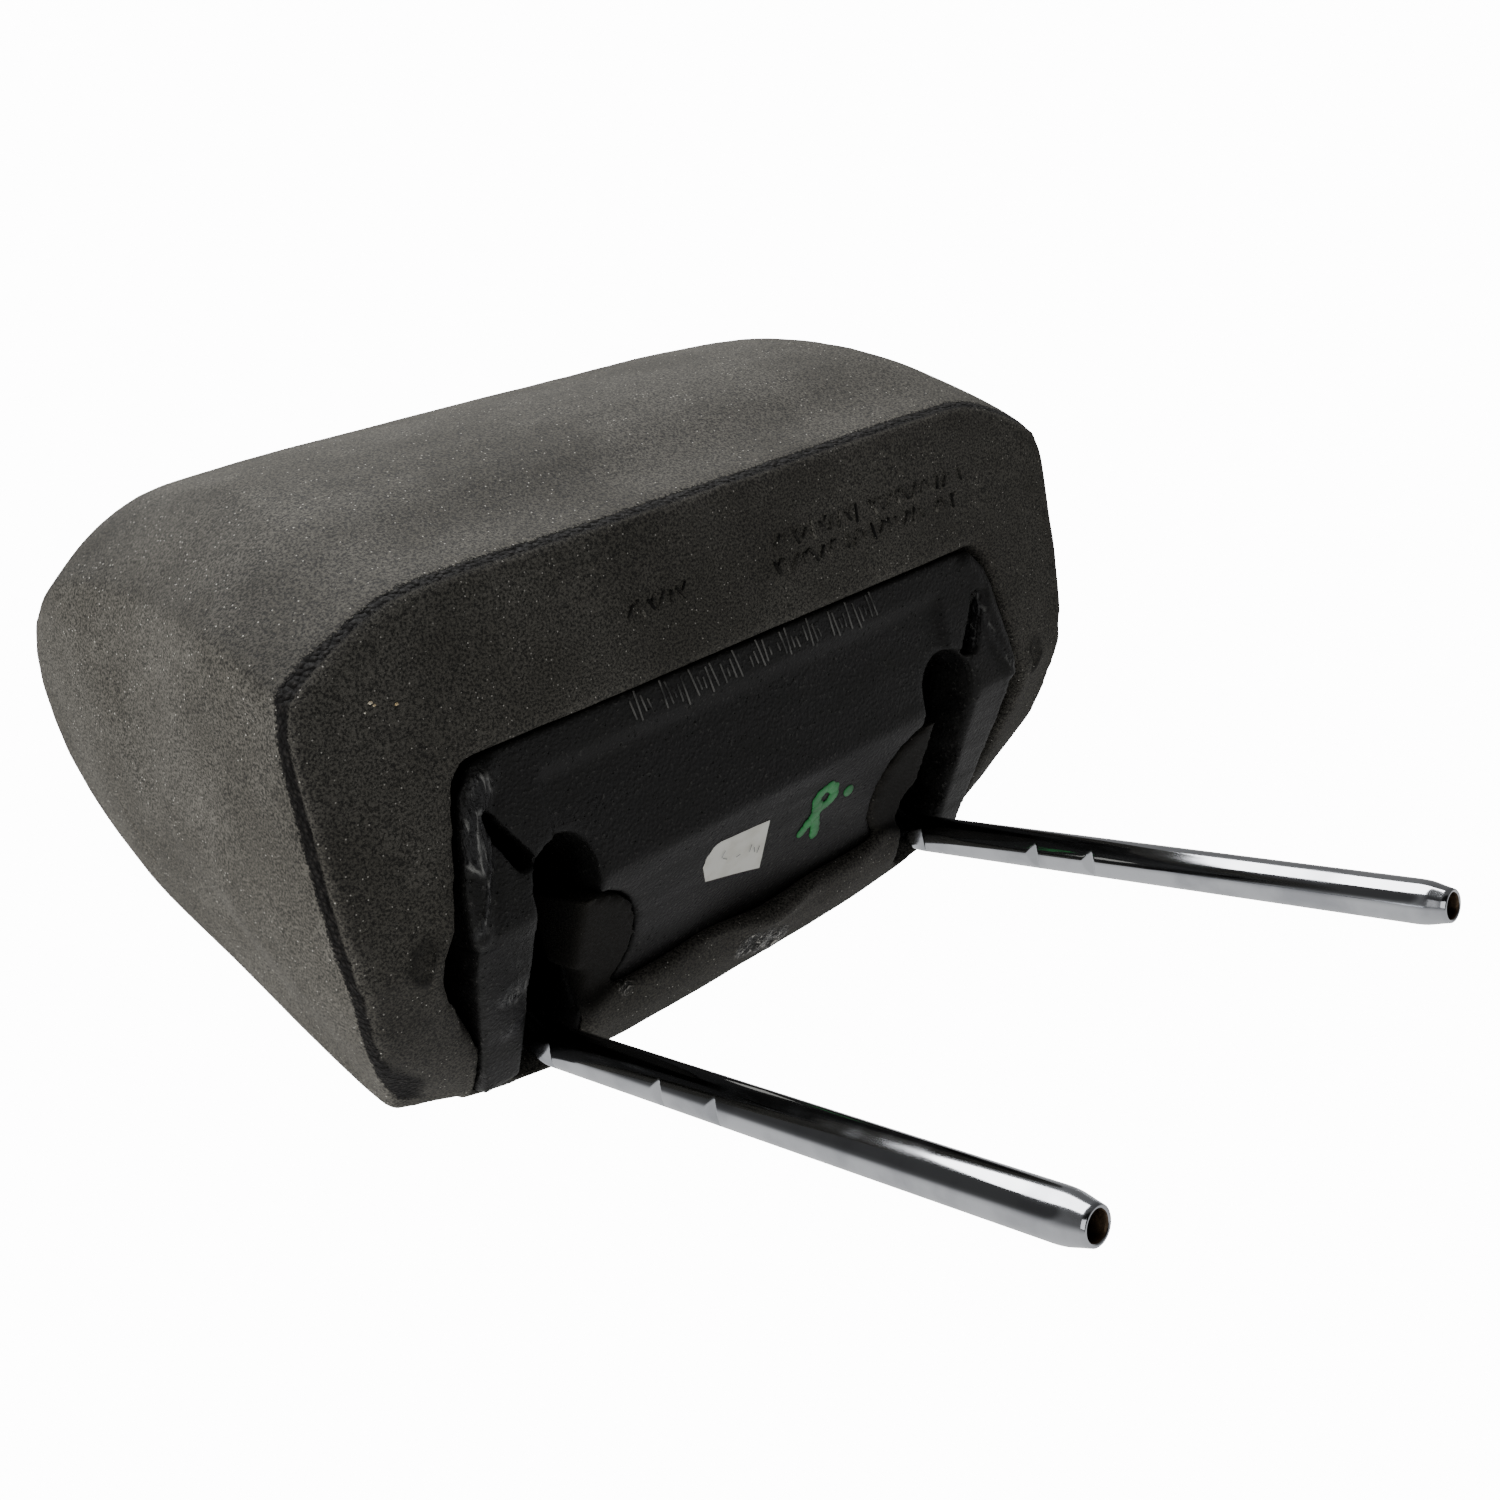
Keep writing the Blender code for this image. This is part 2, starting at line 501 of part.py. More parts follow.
def main():
    """Build the whole part."""
    reset_scene()
    group = make_collection("headrest_pad")
    cutters = make_collection("cutters")
    foam = make_material("foam_skin", (0.075, 0.068, 0.058), 0.85)
    plastic = make_material("core_plastic", (0.012, 0.012, 0.013), 0.42)
    chrome = make_material("chrome", (0.8, 0.81, 0.83), 0.08, 1.0)
    paper = make_material("label_paper", (0.82, 0.81, 0.78), 0.6)
    materials = {
        "bush": make_material("bush_plastic", (0.5, 0.49, 0.45), 0.5),
        "plate": make_material("plate_steel", (0.45, 0.45, 0.46), 0.35, 1.0),
        "screw": make_material("screw_steel", (0.42, 0.41, 0.38), 0.3, 1.0),
    }
    build_tube(group, cutters, chrome)
    build_foam(group, cutters, foam)
    build_core(group, cutters, plastic)
    for index, sign in enumerate((-1, 1)):
        build_keeper(index, sign, group, cutters, materials)
    build_label(group, paper)
    pivot = bpy.data.objects.new("tilt_axis", None)
    pivot.location = (0, PIVOT_Y, PIVOT_Z)
    group.objects.link(pivot)
    bpy.context.view_layer.update()
    children = [item for item in group.objects if item.type == "MESH" and item.name != "armature_tube"]
    for item in children:
        item.data.transform(Matrix.Translation(-pivot.location))
        item.parent = pivot
    for item in cutters.objects:
        item.hide_render = True
        item.display_type = "WIRE"
    bpy.context.view_layer.update()


main()
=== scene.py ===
"""Looks of a bare foam headrest pad on its chromed post tube.

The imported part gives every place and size. This script dresses it: the moulded foam skin
with its parting band, the foamed core with its wings and pits, the bright tube with its
pressed notches, the paper label and the green paint daub, and the studio.
"""
from __future__ import annotations

import logging
import math
from dataclasses import dataclass
from enum import Enum

import bmesh
import bpy
import numpy as np
from bmesh.types import BMEdge, BMesh, BMVert
from bpy.types import Material, Mesh, NodeSocket, NodeTree, Object
from mathutils import Matrix, Vector, noise

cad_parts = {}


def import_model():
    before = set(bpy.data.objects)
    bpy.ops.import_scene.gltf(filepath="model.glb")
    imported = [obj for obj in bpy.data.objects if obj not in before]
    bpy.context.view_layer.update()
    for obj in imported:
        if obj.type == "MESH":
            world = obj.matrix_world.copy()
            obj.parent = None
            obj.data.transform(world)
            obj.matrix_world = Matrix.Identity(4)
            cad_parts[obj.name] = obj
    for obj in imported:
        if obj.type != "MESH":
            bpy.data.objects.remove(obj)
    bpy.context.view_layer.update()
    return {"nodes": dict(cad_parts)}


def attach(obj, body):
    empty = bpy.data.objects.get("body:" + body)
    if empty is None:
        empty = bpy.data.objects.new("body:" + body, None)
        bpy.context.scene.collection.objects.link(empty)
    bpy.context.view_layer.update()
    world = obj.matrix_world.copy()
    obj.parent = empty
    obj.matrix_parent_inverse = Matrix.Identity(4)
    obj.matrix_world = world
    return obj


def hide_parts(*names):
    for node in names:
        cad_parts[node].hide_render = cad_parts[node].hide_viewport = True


LOG = logging.getLogger("headrest")
MM = 0.001
# The core's sloping pan, which carries the label and the daub, starts at this fold.
PAN_PLACE = Matrix.Translation((0.0, -48 * MM, 3 * MM)) @ Matrix.Rotation(math.atan2(27.0, 43.0), 4, "X")

Place = tuple[float, float, float]
Line = tuple[tuple[float, float], ...]
Marks = tuple[tuple[float, float, float, float, float], ...]


class Body(Enum):
    """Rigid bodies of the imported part."""

    ARMATURE = "armature"
    PAD = "pad"


class Slot(Enum):
    """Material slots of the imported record."""

    FOAM = "foam_skin"
    CORE = "core_plastic"
    CHROME = "chrome"
    PAPER = "label_paper"


class Kind(Enum):
    """Kinds of node: type name, inputs in the order given, output read, usual settings."""

    PLACE = ("ShaderNodeTexCoord", (), "Object", {})
    WAY = ("ShaderNodeTexCoord", (), "Generated", {})
    FIELD = ("ShaderNodeAttribute", (), "Fac", {})
    STRETCH = ("ShaderNodeMapping", ("Vector", "Scale"), 0, {})
    NOISE = ("ShaderNodeTexNoise", ("Vector", "Scale", "Detail", "Roughness", "Distortion"), "Fac", {})
    CELLS = ("ShaderNodeTexVoronoi", ("Vector", "Scale"), "Distance", {})
    STEPS = ("ShaderNodeMapRange", (0, 1, 2, 3, 4), 0, {"interpolation_type": "SMOOTHSTEP"})
    MATH = ("ShaderNodeMath", (0, 1, 2), 0, {"operation": "MULTIPLY"})
    TINT = ("ShaderNodeMix", (0, 6, 7), 2, {"data_type": "RGBA"})
    LEVEL = ("ShaderNodeMix", (0, 2, 3), 0, {"data_type": "FLOAT"})
    GREY = ("ShaderNodeCombineColor", (0, 1, 2), 0, {})
    SHARES = ("ShaderNodeSeparateColor", (0,), 0, {})
    AXES = ("ShaderNodeSeparateXYZ", (0,), 0, {})
    TOWARDS = ("ShaderNodeVectorMath", (0, 1), "Value", {"operation": "DOT_PRODUCT"})
    BUMP = ("ShaderNodeBump", ("Height", "Strength", "Distance", "Normal"), 0, {})
    RAY = ("ShaderNodeLightPath", (), "Is Camera Ray", {})
    GLOW = ("ShaderNodeBackground", ("Color", "Strength"), 0, {})


def colour(code: str) -> tuple[float, float, float, float]:
    """Turn an sRGB hex code into a linear colour.

    Args:
        code: Six hex digits.

    Returns:
        Linear red, green and blue with full alpha.
    """
    parts = [int(code[i:i + 2], 16) / 255 for i in (0, 2, 4)]
    linear = [p / 12.92 if p <= 0.04045 else ((p + 0.055) / 1.055) ** 2.4 for p in parts]
    return (linear[0], linear[1], linear[2], 1.0)


def node(tree: NodeTree, kind: Kind, *values: object, **settings: object) -> NodeSocket:
    """Add a node with its settings, values and links.

    Args:
        tree: The node tree that takes the node.
        kind: The kind of node.
        *values: For each of the kind's inputs, a value or an output socket to link.
        **settings: Attributes of the node, besides the kind's usual ones.

    Returns:
        The output that the kind is read by.
    """
    type_name, inputs, output, usual = kind.value
    made = tree.nodes.new(type_name)
    for name, setting in {**usual, **settings}.items():
        setattr(made, name, setting)
    for key, value in zip(inputs, values):
        if isinstance(value, NodeSocket):
            tree.links.new(value, made.inputs[key])
        else:
            made.inputs[key].default_value = value
    return made.outputs[output]


class Recipe:
    """A finish in the making: one Principled shader and the nodes that feed it."""

    def __init__(self, name: str) -> None:
        """Start a finish with an empty shader.

        Args:
            name: The finish's name.
        """
        self.material = bpy.data.materials.new(name)
        self.material.use_nodes = True
        self.tree = self.material.node_tree

    def add(self, kind: Kind, *values: object, **settings: object) -> NodeSocket:
        """Add a node to the finish, as node() does."""
        return node(self.tree, kind, *values, **settings)

    def finish(self, tone: NodeSocket, rough: NodeSocket, bump: NodeSocket,
               constants: dict[str, float]) -> Material:
        """Feed the shader.

        Args:
            tone: The base colour.
            rough: The roughness.
            bump: The relief.
            constants: Values of the shader's own sockets.

        Returns:
            The finished material.
        """
        shader = self.tree.nodes["Principled BSDF"]
        for name, socket in (("Base Color", tone), ("Roughness", rough), ("Normal", bump)):
            self.tree.links.new(socket, shader.inputs[name])
        for name, value in constants.items():
            shader.inputs[name].default_value = value
        return self.material


@dataclass(frozen=True)
class FoamSkin:
    """Polyurethane foam, cold-moulded: a dull grey-brown skin of fine burst cells."""

    skin: str = "4b4944"
    shade: str = "413f3a"
    band: str = "090807"
    crumb: str = "1f1d1b"
    fleck: str = "b9b6ae"
    pore_shade: str = "0c0b0a"
    slick: str = "1d1b18"
    glint: str = "bdbab2"
    # Painted shade for the foam deep in the wells beside the posts.
    well_shade_colour: str = "0f0d0a"
    grain_mm: float = 0.7
    cloud_mm: float = 45.45
    cell_mm: float = 1.5
    fleck_mm: float = 1.3
    fold_mm: float = 2.381
    ragged: float = 0.7 * MM
    band_from: tuple[float, float] = (0.1 * MM, 0.6 * MM)
    band_to: tuple[float, float] = (4.2 * MM, 5.1 * MM)

    def build(self) -> Material:
        """Build the node material.

        Returns:
            The foam's finish.
        """
        recipe = Recipe("moulded_foam_skin")
        add = recipe.add
        place = add(Kind.PLACE)
        seam, rim, film, well_shade, tone = [add(Kind.FIELD, attribute_name=name)
                                        for name in ("seam", "rim", "film", "well_shade", "tone")]
        # The skin's cells are finer than the render shows, so the grain is drawn at 0.7 mm: it
        # reads as sand, on broad clouds of a slightly darker grey.
        grain = add(Kind.NOISE, place, 1000 / self.grain_mm, 3.0, 0.75)
        clouds = add(Kind.NOISE, place, 1000 / self.cloud_mm, 5.0, 0.65)
        mottled = add(Kind.TINT, add(Kind.STEPS, clouds, 0.38, 0.62), colour(self.shade), colour(self.skin))
        # The tone attribute brings in the pad's painted shade and the ribs' rubbed wear.
        grain_shade_and_wear = add(Kind.MATH, add(Kind.STEPS, grain, 0.36, 0.64, 0.2, 1.8), tone)
        sand = add(Kind.TINT, 1.0, mottled, add(Kind.GREY, grain_shade_and_wear, grain_shade_and_wear, grain_shade_and_wear),
                   blend_type="MULTIPLY", clamp_result=False)
        # A few cells stand out: some catch the light as painted highlights, and some are open, with painted
        # shade in them.
        flecks = add(Kind.CELLS, place, 1000 / self.fleck_mm)
        near = add(Kind.STEPS, flecks, 0.1, 0.2, 1.0, 0.0)
        shares = add(Kind.SHARES, flecks.node.outputs["Color"]).node.outputs
        sparkle = add(Kind.MATH, near, add(Kind.STEPS, shares[0], 0.76, 0.86))
        pores = add(Kind.MATH, near, add(Kind.STEPS, shares[1], 0.85, 0.95))
        speckled = add(Kind.TINT, sparkle, sand, colour(self.fleck))
        pored = add(Kind.TINT, pores, speckled, colour(self.pore_shade))
        # The parting line of the mould is a ragged band of crumbs 1.5 mm across, nearly black.
        ragged = add(Kind.MATH, add(Kind.STEPS, grain, 0.3, 0.7, -self.ragged, self.ragged), seam,
                     operation="ADD")
        band = add(Kind.MATH, add(Kind.STEPS, ragged, *self.band_from),
                   add(Kind.STEPS, ragged, *self.band_to, 1.0, 0.0))
        band = add(Kind.MATH, band, rim)
        cells = add(Kind.CELLS, place, 1000 / self.cell_mm)
        crumbs = add(Kind.TINT, add(Kind.STEPS, cells, 0.5, 0.15), colour(self.band), colour(self.crumb))
        banded = add(Kind.TINT, band, pored, crumbs)
        # Painted shade: the foam deep in the wells beside the posts is darkened.
        well_shaded = add(Kind.TINT, well_shade, banded, colour(self.well_shade_colour))
        # Skin that folded while it was wet is dark, glossy and crumpled; its bright creases are painted
        # highlights.
        wet = add(Kind.STEPS, film, 0.2, 0.8)
        folds = add(Kind.NOISE, place, 1000 / self.fold_mm, 3.0, 0.5, 2.5)
        creases_and_glints = add(Kind.TINT, add(Kind.STEPS, folds, 0.52, 0.66), colour(self.slick), colour(self.glint))
        final = add(Kind.TINT, wet, well_shaded, creases_and_glints)
        rough = add(Kind.LEVEL, wet, add(Kind.STEPS, grain, 0.3, 0.7, 0.7, 0.95), 0.26)
        fine = add(Kind.BUMP, grain, 0.6, 0.6 * MM)
        coarse = add(Kind.BUMP, add(Kind.MATH, cells, band), 0.8, 1.2 * MM, fine, invert=True)
        bump = add(Kind.BUMP, add(Kind.MATH, folds, wet), 0.9, 3.0 * MM, coarse)
        return recipe.finish(final, rough, bump, {"IOR": 1.45, "Specular IOR Level": 0.3})


@dataclass(frozen=True)
class FoamedCore:
    """Structural foam plastic, injection-moulded and dyed black: satin, with pits and flow marks."""

    base: str = "100f0f"
    worn: str = "191918"
    pit_shade: str = "060606"
    dust: str = "3b3a38"
    slick: str = "262627"
    glint: str = "8d8d8a"
    joint: str = "050505"
    flow_mm: float = 45.45
    grain_mm: float = 1.111
    pit_mm: float = 2.4
    fold_mm: float = 2.381
    joint_y: float = -24.0 * MM
    joint_skew: float = 0.197
    joint_width: float = 0.45 * MM
    wing_from: float = 90 * MM

    def build(self) -> Material:
        """Build the node material.

        Returns:
            The core's finish.
        """
        recipe = Recipe("structural_foam_black")
        add = recipe.add
        place = add(Kind.PLACE)
        film = add(Kind.FIELD, attribute_name="film")
        # The melt ran across the part and left faint streaks that way.
        flow = add(Kind.NOISE, add(Kind.STRETCH, place, (1.0, 5.0, 5.0)), 1000 / self.flow_mm, 4.0, 0.5, 0.6)
        streaked = add(Kind.TINT, add(Kind.STEPS, flow, 0.35, 0.68), colour(self.base), colour(self.worn))
        # Gas bubbles left pits up to a millimetre wide, sunk in the relief and painted near-black as shade,
        # and pale dust sits in the grain.
        pits = add(Kind.CELLS, place, 1000 / self.pit_mm)
        chosen = add(Kind.STEPS, add(Kind.SHARES, pits.node.outputs["Color"]), 0.45, 0.5)
        hole = add(Kind.MATH, add(Kind.STEPS, pits, 0.1, 0.2, 1.0, 0.0), chosen)
        pitted = add(Kind.TINT, hole, streaked, colour(self.pit_shade))
        grain = add(Kind.NOISE, place, 1000 / self.grain_mm, 3.0)
        dusty = add(Kind.TINT, add(Kind.STEPS, grain, 0.6, 0.72), pitted, colour(self.dust))
        # Smeared foam on the wings is glossy, with painted highlights drawn down the wing as pale creases.
        wet = add(Kind.STEPS, film, 0.2, 0.8)
        folds = add(Kind.NOISE, add(Kind.STRETCH, place, (1.0, 0.3, 0.4)), 1000 / self.fold_mm, 3.0, 0.5, 1.2)
        creases_and_glints = add(Kind.TINT, add(Kind.STEPS, folds, 0.5, 0.72), colour(self.slick), colour(self.glint))
        skin = add(Kind.TINT, wet, dusty, creases_and_glints)
        # A fine dark joint of the mould runs across each wing.
        axes = add(Kind.AXES, place).node.outputs
        across = add(Kind.MATH, axes[0], operation="ABSOLUTE")
        skewed = add(Kind.MATH, across, self.joint_skew, axes[1], operation="MULTIPLY_ADD")
        line = add(Kind.MATH, skewed, self.joint_y, self.joint_width, operation="COMPARE")
        joint = add(Kind.MATH, line, add(Kind.MATH, across, self.wing_from, operation="GREATER_THAN"))
        final = add(Kind.TINT, joint, skin, colour(self.joint))
        rough = add(Kind.LEVEL, wet, add(Kind.STEPS, flow, 0.3, 0.7, 0.44, 0.6), 0.26)
        fine = add(Kind.BUMP, grain, 0.7, 0.6 * MM)
        sunk = add(Kind.BUMP, hole, 0.9, 0.8 * MM, fine, invert=True)
        bump = add(Kind.BUMP, add(Kind.MATH, folds, wet), 0.8, 2.0 * MM, sunk)
        return recipe.finish(final, rough, bump, {"IOR": 1.49, "Specular IOR Level": 0.25})


@dataclass(frozen=True)
class BrightChrome:
    """Decorative chrome on polished steel tube: mirror bright, with faint handling haze."""

    plate: str = "c9cbcf"
    haze: str = "aeb0b5"
    line_mm: float = 1.4286
    smear_mm: float = 16.667
    drawn: Place = (1.0, 1.0, 0.06)

    def build(self) -> Material:
        """Build the node material.

        Returns:
            The chrome finish.
        """
        recipe = Recipe("bright_chrome_plate")
        add = recipe.add
        place = add(Kind.PLACE)
        # Polishing lines run down the legs. They are finer than this, and drawn so that they show.
        lines = add(Kind.NOISE, add(Kind.STRETCH, place, self.drawn), 1000 / self.line_mm, 3.0)
        smear = add(Kind.NOISE, place, 1000 / self.smear_mm, 4.0)
        tone = add(Kind.TINT, add(Kind.STEPS, smear, 0.4, 0.7), colour(self.plate), colour(self.haze))
        rough = add(Kind.STEPS, smear, 0.35, 0.75, 0.07, 0.17)
        bump = add(Kind.BUMP, lines, 0.05, 0.2 * MM)
        return recipe.finish(tone, rough, bump, {"Metallic": 1.0})


@dataclass(frozen=True)
class SteelFinish:
    """Plain or zinc-plated steel with a fine grain; also the unplated bore of the tube."""

    name: str
    bright: str
    dull: str
    grain_mm: float = 0.8
    roughness: float = 0.4
    patch_mm: float = 5.556

    def build(self) -> Material:
        """Build the node material.

        Returns:
            The steel finish.
        """
        recipe = Recipe(self.name)
        add = recipe.add
        place = add(Kind.PLACE)
        grain = add(Kind.NOISE, place, 1000 / self.grain_mm, 4.0)
        patch = add(Kind.NOISE, place, 1000 / self.patch_mm, 4.0)
        tone = add(Kind.TINT, add(Kind.STEPS, patch, 0.4, 0.65), colour(self.bright), colour(self.dull))
        rough = add(Kind.STEPS, grain, 0.3, 0.7, self.roughness - 0.08, self.roughness + 0.12)
        bump = add(Kind.BUMP, grain, 0.25, 0.2 * MM)
        return recipe.finish(tone, rough, bump, {"Metallic": 1.0})


@dataclass(frozen=True)
class DullFinish:
    """A non-metal with a fine grain: moulded acetal, label paper, ink, lint or brushed paint."""

    name: str
    light: str
    dark: str
    grain_mm: float
    roughness: float
    relief_mm: float = 0.1
    stain_mm: float = 7.143
    ior: float = 1.48

    def build(self) -> Material:
        """Build the node material.

        Returns:
            The finish.
        """
        recipe = Recipe(self.name)
        add = recipe.add
        place = add(Kind.PLACE)
        grain = add(Kind.NOISE, place, 1000 / self.grain_mm, 4.0, 0.65)
        stain = add(Kind.NOISE, place, 1000 / self.stain_mm, 3.0)
        tone = add(Kind.TINT, add(Kind.STEPS, stain, 0.4, 0.7), colour(self.light), colour(self.dark))
        rough = add(Kind.STEPS, grain, 0.3, 0.7, self.roughness - 0.06, self.roughness + 0.08)
        bump = add(Kind.BUMP, grain, 0.4, self.relief_mm * MM)
        return recipe.finish(tone, rough, bump, {"IOR": self.ior})


def place_mesh(name: str, work: BMesh) -> Object:
    """Turn a bmesh into an object at the origin.

    Args:
        name: The object's name.
        work: The mesh, in the part's frame. It is freed.

    Returns:
        The object, in the scene.
    """
    mesh = bpy.data.meshes.new(name)
    work.to_mesh(mesh)
    work.free()
    made = bpy.data.objects.new(name, mesh)
    bpy.context.scene.collection.objects.link(made)
    return made


def finish_piece(piece: Object, material: Material, body: Body, slot: Slot,
                 smooth: bool = True) -> Object:
    """Shade a piece, give it its finish and let it ride on its body.

    Args:
        piece: The piece.
        material: The finish.
        body: The rigid body that carries the piece.
        slot: The record's material slot; not used.
        smooth: Whether faces are shaded smooth.

    Returns:
        The piece.
    """
    for face in piece.data.polygons:
        face.use_smooth = smooth
    piece.data.materials.clear()
    piece.data.materials.append(material)
    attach(piece, body.value)
    LOG.info("piece %s: %d faces", piece.name, len(piece.data.polygons))
    return piece


def remeshed_copy(source: Object, name: str, voxel: float, rounds: int) -> Object:
    """Copy a solid and remesh it evenly, which rounds its edges as a moulding's are.

    Args:
        source: The solid to copy.
        name: The new piece's name.
        voxel: Edge length of the new mesh, in metres.
        rounds: Smoothing rounds after the remesh.

    Returns:
        The new object, with its place in its mesh.
    """
    work = bmesh.new()
    work.from_mesh(source.data)
    bmesh.ops.remove_doubles(work, verts=work.verts, dist=1e-6)
    piece = place_mesh(name, work)
    grid = piece.modifiers.new("even_grid", "REMESH")
    grid.mode = "VOXEL"
    grid.voxel_size = voxel
    soften = piece.modifiers.new("soften", "SMOOTH")
    soften.factor = 0.5
    soften.iterations = rounds
    bpy.context.view_layer.update()
    graph = bpy.context.evaluated_depsgraph_get()
    result = bpy.data.meshes.new_from_object(piece.evaluated_get(graph), depsgraph=graph)
    old = piece.data
    piece.modifiers.clear()
    piece.data = result
    bpy.data.meshes.remove(old)
    return piece


def read_points(mesh: Mesh) -> tuple[np.ndarray, np.ndarray]:
    """Read a mesh's points and normals.

    Args:
        mesh: The mesh.

    Returns:
        Points and normals, one row each.
    """
    count = len(mesh.vertices)
    points, normals = np.empty(count * 3, np.float32), np.empty(count * 3, np.float32)
    mesh.vertices.foreach_get("co", points)
    mesh.vertices.foreach_get("normal", normals)
    return points.reshape(-1, 3).astype(float), normals.reshape(-1, 3).astype(float)


def write_points(mesh: Mesh, points: np.ndarray) -> None:
    """Write a mesh's points back."""
    mesh.vertices.foreach_set("co", points.astype(np.float32).ravel())
    mesh.update()


def write_field(mesh: Mesh, name: str, values: np.ndarray) -> None:
    """Store one number for each point as an attribute."""
    mesh.attributes.new(name, "FLOAT", "POINT").data.foreach_set("value", values.astype(np.float32))


def undulation(points: np.ndarray, size: float, seed: float) -> np.ndarray:
    """Sample noise between -1 and 1 at each point, with waves of a size in metres."""
    shift = Vector((seed, 2 * seed, -seed))
    return np.array([noise.noise(Vector(p) / size + shift) for p in points])


def ramp(values: np.ndarray, low: float, high: float) -> np.ndarray:
    """Rise smoothly from zero at low to one at high."""
    share = np.clip((values - low) / (high - low), 0, 1)
    return share * share * (3 - 2 * share)


def bell(values: np.ndarray, middle: float, width: float) -> np.ndarray:
    """Give a bell curve: one at the middle, about a third at a width from it."""
    return np.exp(-((values - middle) / width) ** 2)


def near_spots(points: np.ndarray, marks: Marks) -> np.ndarray:
    """Give the strongest of several soft round masks.

    Args:
        points: One row for each point.
        marks: For each mask its middle, its reach in millimetres and its weight.

    Returns:
        The weight at a middle and zero beyond every reach.
    """
    mask = np.zeros(len(points))
    for x, y, z, reach, weight in marks:
        away = np.linalg.norm(points / MM - np.array((x, y, z)), axis=1)
        mask = np.maximum(mask, weight * ramp(-away, -reach, 0.0))
    return mask


def near_line(points: np.ndarray, line: Line, reach: float) -> np.ndarray:
    """Give a soft mask along a line in plan, the same on the left and the right.

    Args:
        points: One row for each point.
        line: Corners of the line, in millimetres from the middle and along Y.
        reach: Where the mask has fallen to nothing, in millimetres.

    Returns:
        One on the line and zero beyond the reach.
    """
    flat = np.column_stack([np.abs(points[:, 0]), points[:, 1]]) / MM
    closest = np.full(len(flat), np.inf)
    for start, end in zip(line[:-1], line[1:]):
        first, along = np.array(start), np.array(end) - np.array(start)
        share = np.clip((flat - first) @ along / (along @ along), 0, 1)
        closest = np.minimum(closest, np.linalg.norm(flat - first - share[:, None] * along, axis=1))
    return ramp(-closest, -reach, 0.0)


@dataclass
class FoamPad:
    """The moulded foam body with its parting band, dimples and rolled rear lip.

    The underside, the lines and the arch are given in millimetres, all else in metres.
    """

    solid: Object
    skin: Material
    voxel: float = 1.8 * MM
    rounds: int = 6
    half_width: float = 141 * MM
    middle_y: tuple[float, ...] = (-48, -17, 12)
    middle_z: tuple[float, ...] = (0, 18, 34.4)
    edge_y: tuple[float, ...] = (-137, -112, -92, -68, -48, -24, -5)
    edge_z: tuple[float, ...] = (0.8, 0.8, 1.5, 2.5, 5.4, 18.6, 36.5)
    band_side: tuple[float, float] = (117 * MM, 121 * MM)
    band_front: tuple[float, float] = (116 * MM, 120 * MM)
    band_sink: float = 1.4 * MM
    front_band: float = 0.45
    facet_shade: float = 0.24
    cloud_shade: float = 0.13
    rear_shade: float = 0.3
    dimple_shade: float = 0.25
    ring_shade: float = 0.75
    groove_height: float = 2.4 * MM
    groove_width: float = 1.5 * MM
    groove_depth: float = 0.35 * MM
    corner_line: Line = ((131, -118), (138.5, -92), (138.8, -68), (136, -46), (131, -25))
    corner_bead: float = 0.35 * MM
    crease_line: Line = ((87, 126), (77, 123), (67, 121))
    crease_depth: float = 0.5 * MM
    wet_spots: Marks = ((-5, 2, 29, 9, 1.4), (2, 4, 30, 9, 1.4), (9, 6, 32, 9, 1.4), (-54, -6, 25, 6, 0.7))
    wet_relief: float = 1.3 * MM
    dimple_x: float = 122 * MM
    dimple_y: float = -49 * MM
    dimple_radius: float = 4.2 * MM
    dimple_depth: float = 0.8 * MM
    dimple_rim: float = 0.45 * MM
    lip_half: float = 68 * MM
    lip_y: float = -4 * MM
    lip_width: float = 8 * MM
    lip_swell: float = 1.0 * MM
    lip_wave: float = 0.75 * MM
    lip_sway: float = 1.6 * MM
    well_x: float = 70 * MM
    well_y: float = -24 * MM
    well_radius: float = 20 * MM
    well_top: float = 46 * MM
    arch_y: tuple[float, ...] = (-85, -78, -60, -53, -47.8, -41.6, -33, -24.7, -10, 0)
    arch_shift: tuple[float, ...] = (-1.3, -1.3, 0, 1.9, 5.6, 6.1, 4, 1.5, -1, -2.7)

    def build(self) -> Object:
        """Build the foam pad.

        Returns:
            The piece that stands for the foam node.
        """
        piece = remeshed_copy(self.solid, "foam_body", self.voxel, self.rounds)
        mesh = piece.data
        points, normals = read_points(mesh)
        side, front = np.abs(points[:, 0]), -points[:, 1]
        height = points[:, 2] - self.underside(points)
        outer = np.maximum(ramp(side, *self.band_side), ramp(front, *self.band_front))
        ahead = ramp(front, 122 * MM, 134 * MM) * ramp(-side, -132 * MM, -118 * MM)
        facing = ramp(np.clip(-normals[:, 2], 0, 1), 0.5, 0.95)
        # The wet patches also carry painted highlights on their creases.
        film = np.clip(near_spots(points, self.wet_spots), 0, 1)
        write_field(mesh, "seam", height * (1 + self.front_band * ahead) - self.band_sink * facing)
        write_field(mesh, "rim", outer)
        write_field(mesh, "film", film)
        write_field(mesh, "well_shade", self.well_shade(points))
        write_field(mesh, "tone", self.tone(points, normals))
        write_points(mesh, self.sculpt(points, normals, height, outer, film))
        finish_piece(piece, self.skin, Body.PAD, Slot.FOAM)
        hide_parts("foam_pad")
        return piece

    def underside(self, points: np.ndarray) -> np.ndarray:
        """Give the height of the underside below each point.

        Args:
            points: One row for each point.

        Returns:
            Heights in the part's frame.
        """
        share = np.clip(np.abs(points[:, 0]) / self.half_width, 0, 1) ** 4
        along = points[:, 1] / MM
        return MM * (np.interp(along, self.middle_y, self.middle_z) * (1 - share)
                     + np.interp(along, self.edge_y, self.edge_z) * share)

    def from_dimple(self, points: np.ndarray) -> np.ndarray:
        """Give the distance from the nearer dimple, which is a little longer along Y."""
        return np.hypot(np.abs(points[:, 0]) - self.dimple_x, (points[:, 1] - self.dimple_y) * 0.8)

